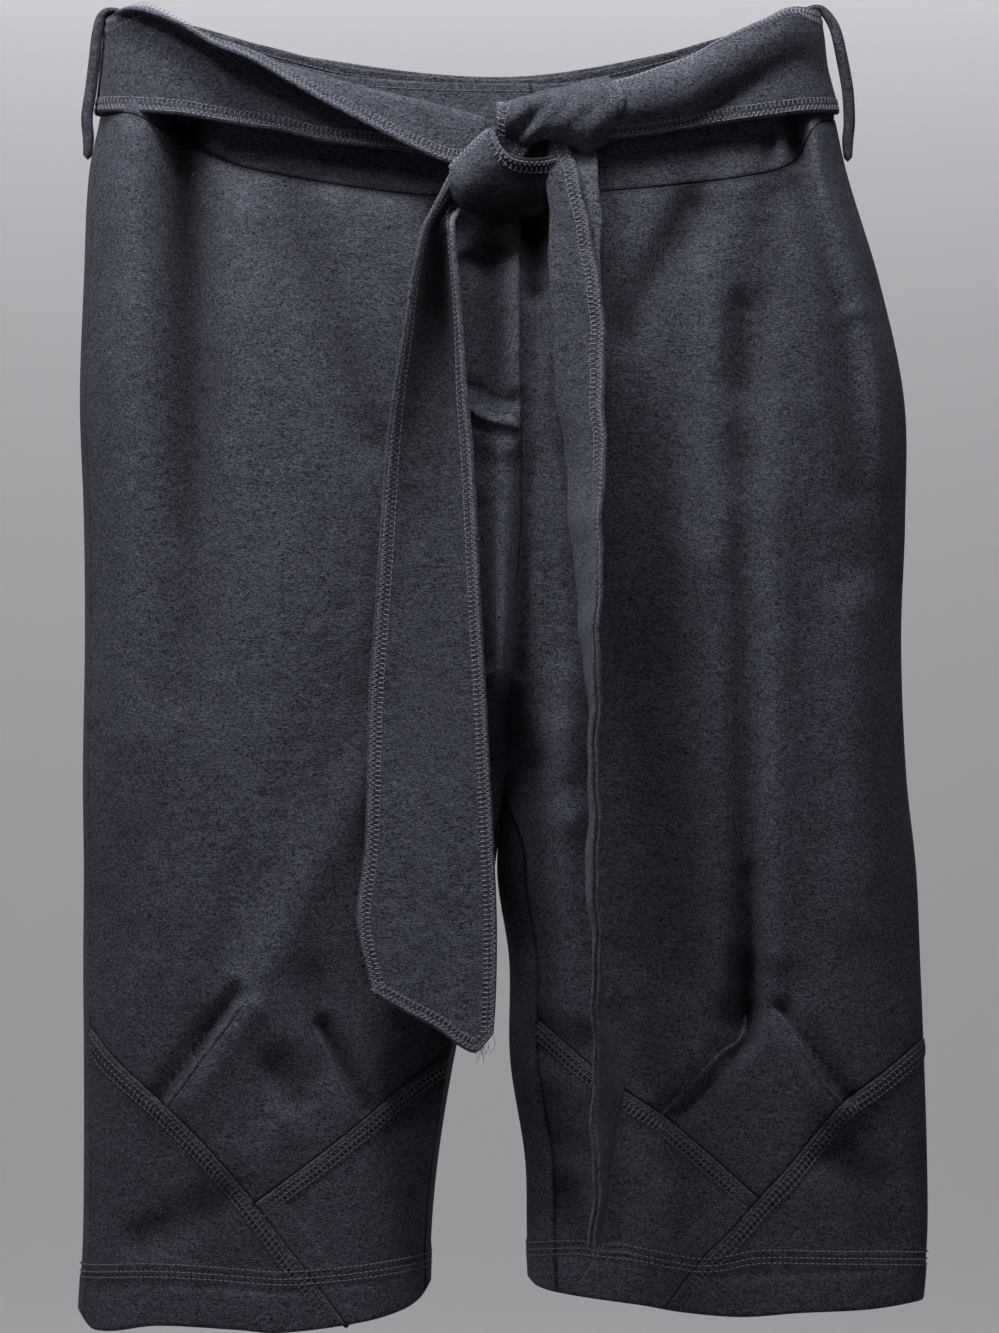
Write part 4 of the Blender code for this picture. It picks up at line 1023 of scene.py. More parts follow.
class Thread:
    """Gathers the stitches of one piece of sewing, then makes them one mesh."""

    def __init__(self, name):
        self.name = name
        self.parts = Joined()
        sizes = bpy.context.scene.shorts_stitching
        self.length = sizes.length / MM
        self.radius = sizes.thread / MM

    def add(self, starts, ends, normals, radius=1.0):
        self.parts.add(*thread_stitches(starts, ends, normals, self.radius * radius))

    def row(self, path, normals, fill=0.82, radius=1.0, pitch=1.0):
        """A row of stitches, end to end with short gaps."""
        points, turned = resample(path, normals, self.length * pitch)
        starts, ends = points[:-1], points[1:]
        gap = (ends - starts) * (1 - fill) / 2
        normal = unit(turned[:-1] + turned[1:])
        lift = normal * self.radius * 0.3
        self.add(starts + gap + lift, ends - gap + lift, normal, radius)

    def ladder(self, path, normals, offset, width, slant=0.5, radius=1.0, pitch=1.0):
        """Threads that cross between two rows, from an offset across the path over a width."""
        points, turned = resample(path, normals, self.length * pitch)
        along, across = bend_normal(points, turned)
        starts = points + across * offset
        ends = points + across * (offset + width) + along * self.length * slant
        self.add(starts[:-1] + turned[:-1] * 0.1, ends[:-1] + turned[:-1] * 0.1, turned[:-1], radius)

    def zigzag(self, path, normals, offset, width, radius=1.0, pitch=1.0):
        """Threads that cross to and fro between two rows."""
        points, turned = resample(path, normals, self.length * pitch / 2)
        _, across = bend_normal(points, turned)
        swing = offset + width * (np.arange(len(points)) % 2)[:, None]
        turns = points + across * swing + turned * 0.1
        self.add(turns[:-1], turns[1:], turned[:-1], radius)

    def build(self, slot):
        piece = self.parts.mesh("stitch_" + self.name, thread_material(slot))
        piece.data.shade_flat()
        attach(piece, ROOT)
        return piece


def skin_path(half, face, line, shares, lap=FLUSH):
    """A line on the skin, with its normals."""
    z = line_height(half, face, shares, line, lap)
    return cloth_point(half, face, shares, z, lap), cloth_normal(half, face, shares, z, lap)


def drawn_path(half, face, points, lap=FLUSH, pitch=1.5):
    """A line on the skin through a few points given as (x, z), rounded between them."""
    length = reach_along(np.array(points))[-1]
    places = np.linspace(0, len(points) - 1, max(4, int(length / pitch)))
    x, z = smooth(np.arange(len(points)), points, places).T
    share = share_of_x(half, face, x, z, lap)
    return cloth_point(half, face, share, z, lap), cloth_normal(half, face, share, z, lap)


def inset_path(grid, normals, edge, inset):
    """Line on a grid that runs a distance in from one of its edges, with its normals."""
    turned = {
        "top": (grid, normals),
        "bottom": (grid[::-1], normals[::-1]),
        "left": (grid.transpose(1, 0, 2), normals.transpose(1, 0, 2)),
        "right": (grid[:, ::-1].transpose(1, 0, 2), normals[:, ::-1].transpose(1, 0, 2)),
    }
    points, facing = turned[edge]
    reach = reach_along(points)
    line, turned = (
        np.array([read_along(away, column, min(inset, away[-1])) for away, column in zip(reach.T, columns)])
        for columns in (points.transpose(1, 0, 2), facing.transpose(1, 0, 2))
    )
    return line, unit(turned)


# Cross-sections of raised lines on the cloth, as (share across, share of the height), round each side
DART_SECTION = ((-1, 0), (-0.6, 0.55), (-0.2, 0.92), (0.1, 1), (0.4, 0.7), (0.6, 0.3), (0.7, 0))
ROLL_SECTION = ((-1, 0), (-0.86, 0.42), (-0.5, 0.85), (0, 1), (0.5, 0.85), (0.86, 0.42), (1, 0))
SUNK = 0.02
BURIED = 0.5


def raised_line(path, normals, section, width, height, taper=0.2):
    """A pressed line of cloth along a path, sunk into the panel at both sides and fading at its ends."""
    count = len(path)
    _, across = bend_normal(path, normals)
    place = np.linspace(0, 1, count)
    fade = ease(np.minimum(place, 1 - place) / taper)
    width = np.broadcast_to(width, count)
    rings = []
    for share, lift in section:
        raised = (lift * height * fade - SUNK)[:, None]
        rings.append(path + across * (share * width)[:, None] + normals * raised)
    for share in (section[-1][0], section[0][0]):
        rings.append(path + across * (share * width)[:, None] - normals * BURIED)
    points = np.stack(rings, axis=1)
    ring = points.shape[1]
    index = np.arange(count * ring).reshape(count, ring)
    after = np.roll(index, -1, axis=1)
    sides = np.stack([index[:-1], index[1:], after[1:], after[:-1]], axis=-1).reshape(-1, 4)
    return points.reshape(-1, 3), sides, [index[0], index[-1, ::-1]]


def line_piece(name, lines):
    """Raised lines of cloth, joined as one piece."""
    parts = Joined()
    for line in lines:
        parts.add(*line)
    # The pressed lines and the fly's roll use the wool made 1.12 times lighter, as a painted highlight
    # along them
    piece = parts.mesh(name, wool_material("pressed_wool", 1.12))
    tidy = bmesh.new()
    tidy.from_mesh(piece.data)
    bmesh.ops.recalc_face_normals(tidy, faces=tidy.faces)
    tidy.to_mesh(piece.data)
    tidy.free()
    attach(piece, ROOT)
    return piece


# Materials


def feed(tree, entry, value):
    """Sets an input to a number or a colour, or links it to an output."""
    if isinstance(value, bpy.types.NodeSocket):
        tree.links.new(value, entry)
    else:
        entry.default_value = value


def placed_node(tree, kind, settings):
    """A new node with its inputs set or linked."""
    node = tree.nodes.new(kind)
    for label, value in settings.items():
        feed(tree, node.inputs[label], value)
    return node


def noise(tree, vector, scale, detail, roughness):
    settings = {"Vector": vector, "Scale": scale, "Detail": detail, "Roughness": roughness}
    return placed_node(tree, "ShaderNodeTexNoise", settings).outputs["Fac"]


def product(tree, first, second):
    node = placed_node(tree, "ShaderNodeMath", {0: first, 1: second})
    node.operation = "MULTIPLY"
    return node.outputs[0]


def weighted_sum(tree, *parts):
    """Sum of values, each times its weight."""
    total = product(tree, *parts[0])
    for value, weight in parts[1:]:
        total = placed_node(tree, "ShaderNodeMath", {0: total, 1: product(tree, value, weight)}).outputs[0]
    return total


def scaled_vector(tree, vector, scale):
    node = tree.nodes.new("ShaderNodeVectorMath")
    node.operation = "SCALE"
    feed(tree, node.inputs["Vector"], vector)
    feed(tree, node.inputs["Scale"], scale)
    return node.outputs["Vector"]


def scaled_mapping(tree, vector, scale, rotation):
    settings = {"Vector": vector, "Scale": scale, "Rotation": rotation}
    return placed_node(tree, "ShaderNodeMapping", settings).outputs["Vector"]


def map_range(tree, value, low, high, start=0.0, end=1.0):
    settings = {"Value": value, "From Min": low, "From Max": high, "To Min": start, "To Max": end}
    return placed_node(tree, "ShaderNodeMapRange", settings).outputs["Result"]


def mix_colour(tree, factor, first, second):
    node = tree.nodes.new("ShaderNodeMix")
    node.data_type = "RGBA"
    feed(tree, node.inputs["Factor"], factor)
    for entry, value in zip([socket for socket in node.inputs if socket.type == "RGBA"], (first, second)):
        feed(tree, entry, value)
    return [socket for socket in node.outputs if socket.type == "RGBA"][0]


def felt_group():
    """Fibres of felted wool: a mask of light fibres, a slow mottle, lint, and the height of the nap."""
    found = bpy.data.node_groups.get("felted_fibres")
    if found:
        return found
    group = bpy.data.node_groups.new("felted_fibres", "ShaderNodeTree")
    for label in ("Fineness", "Lint"):
        socket = group.interface.new_socket(label, in_out="INPUT", socket_type="NodeSocketFloat")
        socket.default_value = 1.0
    for label in ("Fibres", "Mottle", "Lint", "Height"):
        group.interface.new_socket(label, in_out="OUTPUT", socket_type="NodeSocketFloat")
    entry = group.nodes.new("NodeGroupInput").outputs
    place = group.nodes.new("ShaderNodeTexCoord").outputs["Object"]
    vector = scaled_vector(group, place, entry["Fineness"])

    # Fibres lie mostly across the cloth, with some the other way
    flat = scaled_mapping(group, vector, (0.45, 1.0, 1.6), (0.0, 0.3, 0.0))
    steep = scaled_mapping(group, vector, (1.4, 1.0, 0.6), (0.0, -0.5, 0.0))
    fine = noise(group, flat, 1250.0, 2.0, 0.65)
    cross = noise(group, steep, 1100.0, 2.0, 0.7)
    clump = noise(group, flat, 460.0, 4.0, 0.62)
    lump = noise(group, vector, 150.0, 2.0, 0.5)
    patch = noise(group, vector, 60.0, 4.0, 0.6)
    broad = noise(group, vector, 11.0, 3.0, 0.55)
    speck = map_range(group, noise(group, vector, 420.0, 1.0, 0.4), 0.76, 0.82)
    thin = map_range(group, noise(group, steep, 1300.0, 1.0, 0.5), 0.5, 0.62)

    strands = weighted_sum(group, (fine, 0.48), (cross, 0.36), (clump, 0.16))
    mottle = weighted_sum(group, (patch, 0.6), (broad, 0.4))
    placed_node(group, "NodeGroupOutput", {
        "Fibres": map_range(group, strands, 0.385, 0.66),
        "Mottle": map_range(group, mottle, 0.36, 0.64),
        "Lint": product(group, product(group, speck, thin), entry["Lint"]),
        "Height": weighted_sum(group, (strands, 0.8), (patch, 0.5), (lump, 0.8)),
    })
    return group


def felt_node(tree, fineness, lint=1.0):
    """The outputs of the felt's node group, placed in a material."""
    felt = tree.nodes.new("ShaderNodeGroup")
    felt.node_tree = felt_group()
    felt.inputs["Fineness"].default_value = fineness
    felt.inputs["Lint"].default_value = lint
    return felt.outputs


def surface(name, settings):
    """A new material with these settings of its Principled shader."""
    material = bpy.data.materials.new(name)
    material.use_nodes = True
    shader = material.node_tree.nodes["Principled BSDF"]
    for label, value in settings.items():
        shader.inputs[label].default_value = value
    return material, material.node_tree, shader


def lit(colour, light):
    return tuple(c * light for c in colour) + (1.0,)


# Painted shade in the creases and hollows and painted highlight on the ridges: heights and the share of
# colour they give
PAINTED_SHADING_HEIGHTS = (-14.0, 8.0)
PAINTED_SHADING_FACTORS = (0.05, 1.54)
MOTTLE_SHADE = (0.84, 1.14)
LINT_COLOUR = (0.24, 0.25, 0.27, 1.0)


def wool_material(name, light=1.0):
    """Felted wool with its heathered fibres and lint, and a per-point value that darkens its colour as
    painted shade and lightens it as painted highlight.
    """
    found = bpy.data.materials.get(name)
    if found:
        return found
    wool = bpy.context.scene.shorts_wool
    material, tree, shader = surface(name, {
        "Roughness": wool.roughness,
        "Specular IOR Level": 0.1,
        "Sheen Weight": wool.sheen,
        "Sheen Roughness": 0.55,
        "Sheen Tint": (0.62, 0.66, 0.80, 1.0),
    })
    felt = felt_node(tree, 1.0)
    fibres = mix_colour(tree, felt["Fibres"], lit(wool.dark, light), lit(wool.light, light))
    mottle = map_range(tree, felt["Mottle"], 0.0, 1.0, *MOTTLE_SHADE)
    # Painted shade and highlight: a per-point value darkens the colour in creases and lightens it on ridges
    relief = tree.nodes.new("ShaderNodeAttribute")
    relief.attribute_name = "relief"
    nap = map_range(tree, relief.outputs["Fac"], *PAINTED_SHADING_HEIGHTS, *PAINTED_SHADING_FACTORS)
    shaded = scaled_vector(tree, fibres, product(tree, mottle, nap))
    feed(tree, shader.inputs["Base Color"], mix_colour(tree, felt["Lint"], shaded, LINT_COLOUR))
    bump = placed_node(
        tree, "ShaderNodeBump", {"Strength": 0.9, "Distance": 0.0014, "Height": felt["Height"]}
    )
    feed(tree, shader.inputs["Normal"], bump.outputs["Normal"])
    return material


# Share of the thread's colour in the seams, which are fuzzed over, and on the belt
THREAD_LIGHT = {"wool": 0.65, "belt_wool": 1.2}
THREAD_SHADE = (0.45, 1.25)


def thread_material(slot):
    """Twisted polyester thread, a little lighter than the wool."""
    name = "thread_of_" + slot
    found = bpy.data.materials.get(name)
    if found:
        return found
    settings = {"Roughness": 0.7, "Specular IOR Level": 0.3, "Sheen Weight": 0.15}
    material, tree, shader = surface(name, settings)
    felt = felt_node(tree, 1.6, lint=0.0)
    colour = bpy.context.scene.shorts_stitching.colour
    dark, pale = (lit(colour, share * THREAD_LIGHT[slot]) for share in THREAD_SHADE)
    feed(tree, shader.inputs["Base Color"], mix_colour(tree, felt["Fibres"], dark, pale))
    return material


def body_wool():
    return wool_material("felted_wool")


def belt_wool():
    return wool_material("felted_belt_wool", 1.06)


# Pieces


Sizes = namedtuple("Sizes", "thickness pitch hem hem_depth")


def cloth_sizes():
    """The cloth's sizes in millimetres."""
    return Sizes(*(getattr(bpy.context.scene.shorts_cloth, name) / MM for name in Sizes._fields))


def raise_bands(grid, face, banded):
    """Lifts a panel over the seam allowance below its top edge, and over its turned-up hem."""
    from_top = reach_along(grid)
    from_bottom = from_top[-1:] - from_top
    lift = HEM_LIFT * ease((HEM_BAND - from_bottom) / BAND_RAMP)
    if banded:
        lift = np.maximum(lift, SEAM_LIFT * ease((SEAM_BAND - from_top) / BAND_RAMP))
    return grid + normals_out(grid, face) * lift[..., None]


def painted_streak(distance, place, width, height):
    """A line of painted shade, where the height is below 0, or of painted highlight, where it is above, at
    a distance from an edge.
    """
    return height * np.exp(-(((distance - place) / width) ** 2))


def painted_seam_shading(grid, name):
    """Painted shade and light at a panel's edges: painted shade along its inner edge and in the grooves of
    its seams, a painted highlight on the pressed ridge beside them, and the hem's stitched band darker.
    """
    from_top = reach_along(grid)
    from_bottom = from_top[-1:] - from_top
    relief = painted_streak(reach_along(grid[:, ::-1], axis=1)[:, ::-1], 0, 1.3, -8.0)
    if name.endswith("waistband"):
        relief += painted_streak(from_bottom, 0, 1.8, -6.0)
    elif name.endswith("hem"):
        relief += painted_streak(from_top, 1.4, 1.1, 5.0) - 3.0 * ease((SEAM_BAND - from_top) / 3.0)
    elif name.startswith("front"):
        relief += painted_streak(from_bottom, 0, 1.6, -9.0) - 3.0 * np.exp(-from_bottom / 4.0)
        relief += painted_streak(from_top, 0, 1.4, -8.0) + painted_streak(from_top, 4.5, 2.2, 3.0)
    return relief


def skin_piece(name, half, face, shares, top, bottom, length, pitch, hemmed=False, banded=False):
    """A panel of the skin of about this length, with a turned-up hem where it has one."""
    sizes = cloth_sizes()
    grid = panel_grid(half, face, shares, top, bottom, round(length / pitch), LAPS.get(name, FLUSH))
    if hemmed:
        grid = raise_bands(grid, face, banded)
        layer = wall_from_outer(grid, face, sizes.thickness, sizes.hem, sizes.hem_depth)
    else:
        layer = wall_from_outer(grid, face, sizes.thickness)
    # The fold heights also serve as painted shade in the hollows and painted highlight on the ridges, with
    # the painted shading of the seams added
    relief = fold_height(face, grid[..., 0], grid[..., 2]) + painted_seam_shading(grid, name)
    cloth_piece(name, [layer], body_wool(), relief)


def v_line(half):
    """Lower edge of the main front panel: the long seam outside the V's point, the short one inside."""
    return lambda x: np.where((x - half.v_x) * half.sign > 0, half.long_seam(x), half.short_seam(x))


def inner_foot(half):
    """Lower edge of the inner hem panel: the long seam, then the hem."""
    return lambda x: np.where((x - half.runout_x) * half.sign > 0, half.long_seam(x), half.hem(x))


def joined_halves(left, right):
    """One grid from one side of the garment to the other, out of those of its two halves."""
    return np.concatenate([left, right[:, -2::-1]], axis=1)


def corner_shares(half):
    """Shares of the front's width at the V's point and where the long seam runs into the hem."""
    v = share_of_x(half, "front", half.v_x, half.long_seam(half.v_x))
    runout = share_of_x(half, "front", half.runout_x, half.hem(half.runout_x))
    return float(v), float(runout)


PANEL_WIDTH = 215.0

# The plain back needs fewer points than the front
BACK_COARSER = 1.65


class SHORTS_OT_front_panels(bpy.types.Operator):
    """Makes the two main front panels"""

    bl_idname = "shorts.front_panels"
    bl_label = "Front panels"

    def execute(self, context):
        pitch = cloth_sizes().pitch
        for half in (LEFT, RIGHT):
            shares = columns(PANEL_WIDTH, pitch, *corner_shares(half))
            name = f"front_{half.side}_panel"
            skin_piece(name, half, "front", shares, FRONT_WAIST_LINE, v_line(half), 500, pitch)
        return {"FINISHED"}


class SHORTS_OT_hem_panels(bpy.types.Operator):
    """Makes the slanted hem panels of the two legs"""

    bl_idname = "shorts.hem_panels"
    bl_label = "Hem panels"

    def execute(self, context):
        pitch = cloth_sizes().pitch
        for half in (LEFT, RIGHT):
            v, runout = corner_shares(half)
            shares = columns(PANEL_WIDTH, pitch, v, runout)
            outer = shares[shares <= runout + 1e-9]
            inner = shares[shares >= v - 1e-9]
            for name, part, top, bottom, length in (
                ("outer", outer, half.long_seam, half.hem, 150),
                ("inner", inner, half.short_seam, inner_foot(half), 130),
            ):
                name = f"front_{half.side}_{name}_hem"
                skin_piece(name, half, "front", part, top, bottom, length, pitch, hemmed=True, banded=True)
        return {"FINISHED"}


class SHORTS_OT_back_panels(bpy.types.Operator):
    """Makes the two back panels"""

    bl_idname = "shorts.back_panels"
    bl_label = "Back panels"

    def execute(self, context):
        pitch = cloth_sizes().pitch * BACK_COARSER
        shares = columns(PANEL_WIDTH, pitch)
        for half in (LEFT, RIGHT):
            name = f"back_{half.side}_panel"
            skin_piece(name, half, "back", shares, BACK_WAIST_LINE, half.hem, 600, pitch, hemmed=True)
        return {"FINISHED"}


class SHORTS_OT_waistbands(bpy.types.Operator):
    """Makes the front and back waistbands"""

    bl_idname = "shorts.waistbands"
    bl_label = "Waistbands"

    def execute(self, context):
        thickness, pitch = cloth_sizes()[:2]
        shares = columns(PANEL_WIDTH, pitch)
        for half in (LEFT, RIGHT):
            name = f"front_{half.side}_waistband"
            skin_piece(name, half, "front", shares, FRONT_TOP_LINE, FRONT_WAIST_LINE, 60, pitch)
        left, right = (
            panel_grid(half, "back", shares, BACK_TOP_LINE, BACK_WAIST_LINE, round(60 / pitch))
            for half in (LEFT, RIGHT)
        )
        layer = wall_from_outer(joined_halves(left, right), "back", thickness)
        cloth_piece("back_waistband", [layer], body_wool())
        return {"FINISHED"}


def over_skin(half, face, share, z, out):
    """Points lying out from the plain skin, where the belt goes."""
    point = cloth_point(half, face, share, z, plain=True)
    return point + cloth_normal(half, face, share, z, plain=True) * np.asarray(out)[..., None]


def over_front(x, z, out):
    """The same for an x across the front."""
    x, z, out = np.broadcast_arrays(x, z, out)
    points = []
    for half in (LEFT, RIGHT):
        share = share_of_x(half, "front", x, z)
        points.append(over_skin(half, "front", share, z, out))
    on_left = x < LEFT.inner_x(z)
    return np.where(on_left[..., None], points[0], points[1])


BELT_START = 0.012
LEFT_REACH = 0.055


def belt_start(half, face):
    """Share of a face's width at which the belt starts. The left front stretch goes on to its loop."""
    reach = LEFT_REACH if half is LEFT else 0.0
    return BELT_START - (reach if face == "front" else -reach)


def section_grid(table, xs, width, pitch):
    """Heights and distances out, along rows of a width, read from a table of cross-sections at each x."""
    rows = sorted(table)
    marks = [row.x for row in rows]
    sections = np.array([row.section for row in rows], float)
    steps = np.linalg.norm(np.diff(sections, axis=1), axis=2).mean(axis=0)
    reach = np.concatenate([[0.0], np.cumsum(steps)])
    spread = steps_between(width, pitch) / width * reach[-1]
    across = smooth(marks, sections, xs)
    grid = smooth(reach, across.transpose(1, 0, 2), spread)
    return grid[..., 0], grid[..., 1]


def front_belt_grid(half, table, pitch):
    """A front stretch of the belt, from the side of the waist to its end in the knot."""
    end_x = (table[-1] if half is LEFT else table[0]).x
    end = float(share_of_x(half, "front", end_x, BELT_MIDDLE_Z))
    start = belt_start(half, "front")
    length = (end - start) * PANEL_WIDTH
    shares = start + steps_between(length, pitch) / length * (end - start)
    xs = cloth_point(half, "front", shares, BELT_MIDDLE_Z, plain=True)[..., 0]
    z, out = section_grid(table, xs, BELT_WIDTH, pitch)
    return over_skin(half, "front", np.broadcast_to(shares, z.shape), z, out)


def right_belt_painted_shade(grid):
    """Painted shade on the right stretch: how deep each place lies in the valley below its roll, where the
    roll casts its shadow.
    """
    x, z = grid[..., 0], grid[..., 2]
    away = (z - Curve(RIGHT_BELT_VALLEY, "z")(x)) / VALLEY_WIDTH
    return -VALLEY_SHADE * np.exp(-away * away) * ease((VALLEY_END - x) / VALLEY_FADE)


def back_belt_grid(pitch):
    """Back stretch, from one side of the waist to the other."""
    places = steps_between(BACK_BELT_WIDTH, pitch)
    halves = []
    for half in (LEFT, RIGHT):
        start = belt_start(half, "back")
        shares = start + (1 - start) * columns(PANEL_WIDTH, pitch)
        shares[-1] = 1.0
        x = cloth_point(half, "back", shares, BELT_MIDDLE_Z, plain=True)[..., 0]
        z = BACK_BELT_LINE(x) + places[:, None] * np.ones_like(x)
        out = np.full(z.shape, BACK_BELT_OUT)
        halves.append(over_skin(half, "back", np.broadcast_to(shares, z.shape), z, out))
    return joined_halves(*halves)


def knot_grid():
    """The roll of belt over the front of the knot, with the creases of the pull across it."""
    length = KNOT[-1].x - KNOT[0].x
    xs = KNOT[0].x + steps_between(length, KNOT_PITCH)
    z, out = section_grid(KNOT, xs, WRAP_WIDTH, KNOT_PITCH)
    shares = np.linspace(0, 1, len(z))[:, None]
    x = xs - Curve(KNOT_END, "back")(shares) * ease((xs - KNOT_END_X) / (KNOT[-1].x - KNOT_END_X))
    for crease in KNOT_CREASES:
        s, height = along_fold(crease, x, z)
        out = out + crease.height * np.sin(math.pi * (0.15 + 0.7 * s)) * height
    return over_front(x, z, out)


def lobe_grid():
    """The lobe of belt below the wrap, with its upper edge curled forward."""
    xs = KNOT_LOBE[0].x + steps_between(KNOT_LOBE[-1].x - KNOT_LOBE[0].x, KNOT_PITCH)
    z, out = section_grid(KNOT_LOBE, xs, LOBE_WIDTH, KNOT_PITCH)
    return over_front(np.broadcast_to(xs, z.shape), z, out)


def width_shares(width, pitch):
    """Shares of a ribbon's width at which there is a column of points."""
    return (steps_between(width, pitch) / width)[None, :]


def tail_walls(z, share):
    """Height of the left tail's wall on the side of the channel that a place lies on."""
    left, right = (Curve(LEFT_TAIL, column)(z) for column in ("walls", "right_walls"))
    return np.where(share < 0.5, left, right)


def left_tail_grid(pitch):
    """The flat tail, a channel at the top, with its slanted foot."""
    curves = {column: Curve(LEFT_TAIL, column) for column in Tail._fields[1:]}
    foot = Curve(LEFT_TAIL_FOOT, "z")
    share = width_shares(LEFT_TAIL_WIDTH, pitch)
    height = width_shares(LEFT_TAIL_LENGTH, pitch).T
    root = LEFT_TAIL[0].z
    z = root + (foot(share) - root) * height
    x = curves["left_x"](z) + (curves["right_x"](z) - curves["left_x"](z)) * share
    y = curves["y"](z) - tail_walls(z, share) * np.abs(2 * share - 1) ** TAIL_WALL_POWER
    return np.stack([x, y, z], axis=-1)


def left_tail_painted_shade(grid, pitch):
    """Painted shade on the left tail, darker the deeper a place lies in its channel, on top of the painted
    light given to both tails.
    """
    share = width_shares(LEFT_TAIL_WIDTH, pitch)
    walls = np.maximum(tail_walls(grid[..., 2], share), 0.0)
    return TAILS_PAINTED_LIGHT - CHANNEL_SHADE * walls * (1 - np.abs(2 * share - 1) ** CHANNEL_POWER)


def right_tail_grid(pitch):
    """The tail that is folded lengthwise and turns edge-on, from the edge of one layer to the other's."""
    curves = {column: Curve(RIGHT_TAIL, column) for column in Twist._fields[1:]}
    radius = TAIL_LAYERS_APART / 2
    root, foot = RIGHT_TAIL[0].z, RIGHT_TAIL[-1].z
    z = root + (foot - root) * (steps_between(root - foot, pitch) / (root - foot))[:, None]
    row = {column: curve(z) for column, curve in curves.items()}
    reach = row["width"] / 2
    front, behind = row["front"] - radius, row["width"] - radius
    s = width_shares(RIGHT_TAIL_WIDTH, pitch) * (front + behind + math.pi * radius)
    bend = clamp((s - front) / (math.pi * radius)) * math.pi
    back = np.maximum(s - front - math.pi * radius, 0.0)
    u = -reach + radius + front - np.minimum(s, front) - radius * np.sin(bend) + back
    v = -radius * np.cos(bend)
    turn = np.radians(row["turn"])
    sway = sum(height * np.sin(z / length + phase) for height, length, phase in TAIL_SWAY)
    x = row["x"] + sway + u * np.cos(turn) - v * np.sin(turn)
    y = row["y"] - u * np.sin(turn) + v * np.cos(turn)
    return np.stack([x, y, z + 0 * x], axis=-1)


def ribbon(name, grid, relief=None):
    """A stretch of belt round its middle surface."""
    layer = thicken(grid, cloth_sizes().thickness)
    cloth_piece(name, [layer], belt_wool(), relief)


class SHORTS_OT_belt(bpy.types.Operator):
    """Makes the belt round the waist"""

    bl_idname = "shorts.belt"
    bl_label = "Belt round the waist"

    def execute(self, context):
        pitch = cloth_sizes().pitch
        ribbon("belt_left", front_belt_grid(LEFT, LEFT_BELT, pitch))
        grid = front_belt_grid(RIGHT, RIGHT_BELT, pitch)
        ribbon("belt_right", grid, right_belt_painted_shade(grid))
        ribbon("belt_back", back_belt_grid(pitch))
        return {"FINISHED"}


class SHORTS_OT_knot(bpy.types.Operator):
    """Makes the knot's wrap and the two tails that hang from it"""

    bl_idname = "shorts.knot"
    bl_label = "Knot and tails"

    def execute(self, context):
        thickness, pitch = cloth_sizes()[:2]
        wrap, lobe = knot_grid(), lobe_grid()
        # Painted shade on the lobe, none on the wrap
        across = ease((lobe[..., 0] - LOBE_SHADE_X) / LOBE_SHADE_WIDTH)
        down = ease((LOBE_SHADE_Z - lobe[..., 2]) / LOBE_SHADE_DEPTH)
        wrap_points = 2 * wrap.shape[0] * wrap.shape[1]
        cloth_piece(
            "belt_knot", [thicken(wrap, thickness), thicken(lobe, thickness)], belt_wool(),
            np.concatenate([np.zeros(wrap_points), -LOBE_SHADE * (across + down).reshape(-1)]),
        )
        tail = left_tail_grid(pitch)
        ribbon("belt_left_tail", tail, left_tail_painted_shade(tail, pitch))
        tail = right_tail_grid(pitch)
        # The right tail gets the painted light all over
        ribbon("belt_right_tail", tail, np.full(tail.shape[:2], TAILS_PAINTED_LIGHT))
        return {"FINISHED"}


def loop_grid(path):
    """The strap of a belt loop: rows along its path and columns across its width."""
    x, z = smooth(np.arange(len(path)), path, np.linspace(0, len(path) - 1, LOOP_ROWS)).T
    y = (steps_between(LOOP_WIDTH, LOOP_PITCH) - LOOP_WIDTH / 2)[None, :]
    return np.stack(np.broadcast_arrays(x[:, None], y, z[:, None]), axis=-1)


class SHORTS_OT_loops(bpy.types.Operator):
    """Makes the two belt loops"""

    bl_idname = "shorts.loops"
    bl_label = "Belt loops"

    def execute(self, context):
        for name, path in (("loop_left", LEFT_LOOP), ("loop_right", RIGHT_LOOP)):
            shares = np.linspace(0, 1, LOOP_ROWS)[:, None]
            layer = thicken(loop_grid(path), Curve(LOOP_THICKNESS, "thickness")(shares))
            cloth_piece(name, [layer], belt_wool())
        return {"FINISHED"}


# Pressed line of a dart, and the roll between the two lines of stitching at the fly's foot
DART_WIDTH = 1.5
DART_HEIGHT = 0.5
FLY_ROLL_HEIGHT = 1.6
FLY_ROLL_POINTS = 40
STITCH_END = 2.0
EDGE_STITCH = 4.0

# Rows of the coverstitch below a slanted seam
SEAM_ROWS = (2.6, 5.3, 8.0)
# Rows of the coverstitch along the belt's edges, and from the first row inwards the place and width of
# the ladder between the rows and of the zigzag over the edge
BELT_ROWS = (1.8, 7.4)
BELT_LADDER = (2.6, 3.0)
BELT_ZIGZAG = (-0.6, 2.9)


def cover_rows(thread, half, line, shares):
    """Coverstitch on the front below a seam: its rows, and the ladder from the first to the last."""
    paths = [skin_path(half, "front", lowered(line, drop), shares) for drop in SEAM_ROWS]
    for path, normals in paths:
        raised = path + normals * SEAM_LIFT
        kept = raised[:, 2] > half.hem(raised[:, 0]) + STITCH_END
        thread.row(raised[kept], normals[kept])
    low = paths[-1][0]
    path, normals = paths[0]
    kept = low[:, 2] > half.hem(low[:, 0]) + STITCH_END
    path = (path + normals * SEAM_LIFT)[kept]
    _, across = bend_normal(path, normals[kept])
    way = 1.0 if np.mean(across[:, 2]) < 0 else -1.0
    width = way * (SEAM_ROWS[-1] - SEAM_ROWS[0])
    thread.ladder(path, normals[kept], 0.0, width, slant=0.3, radius=0.9)


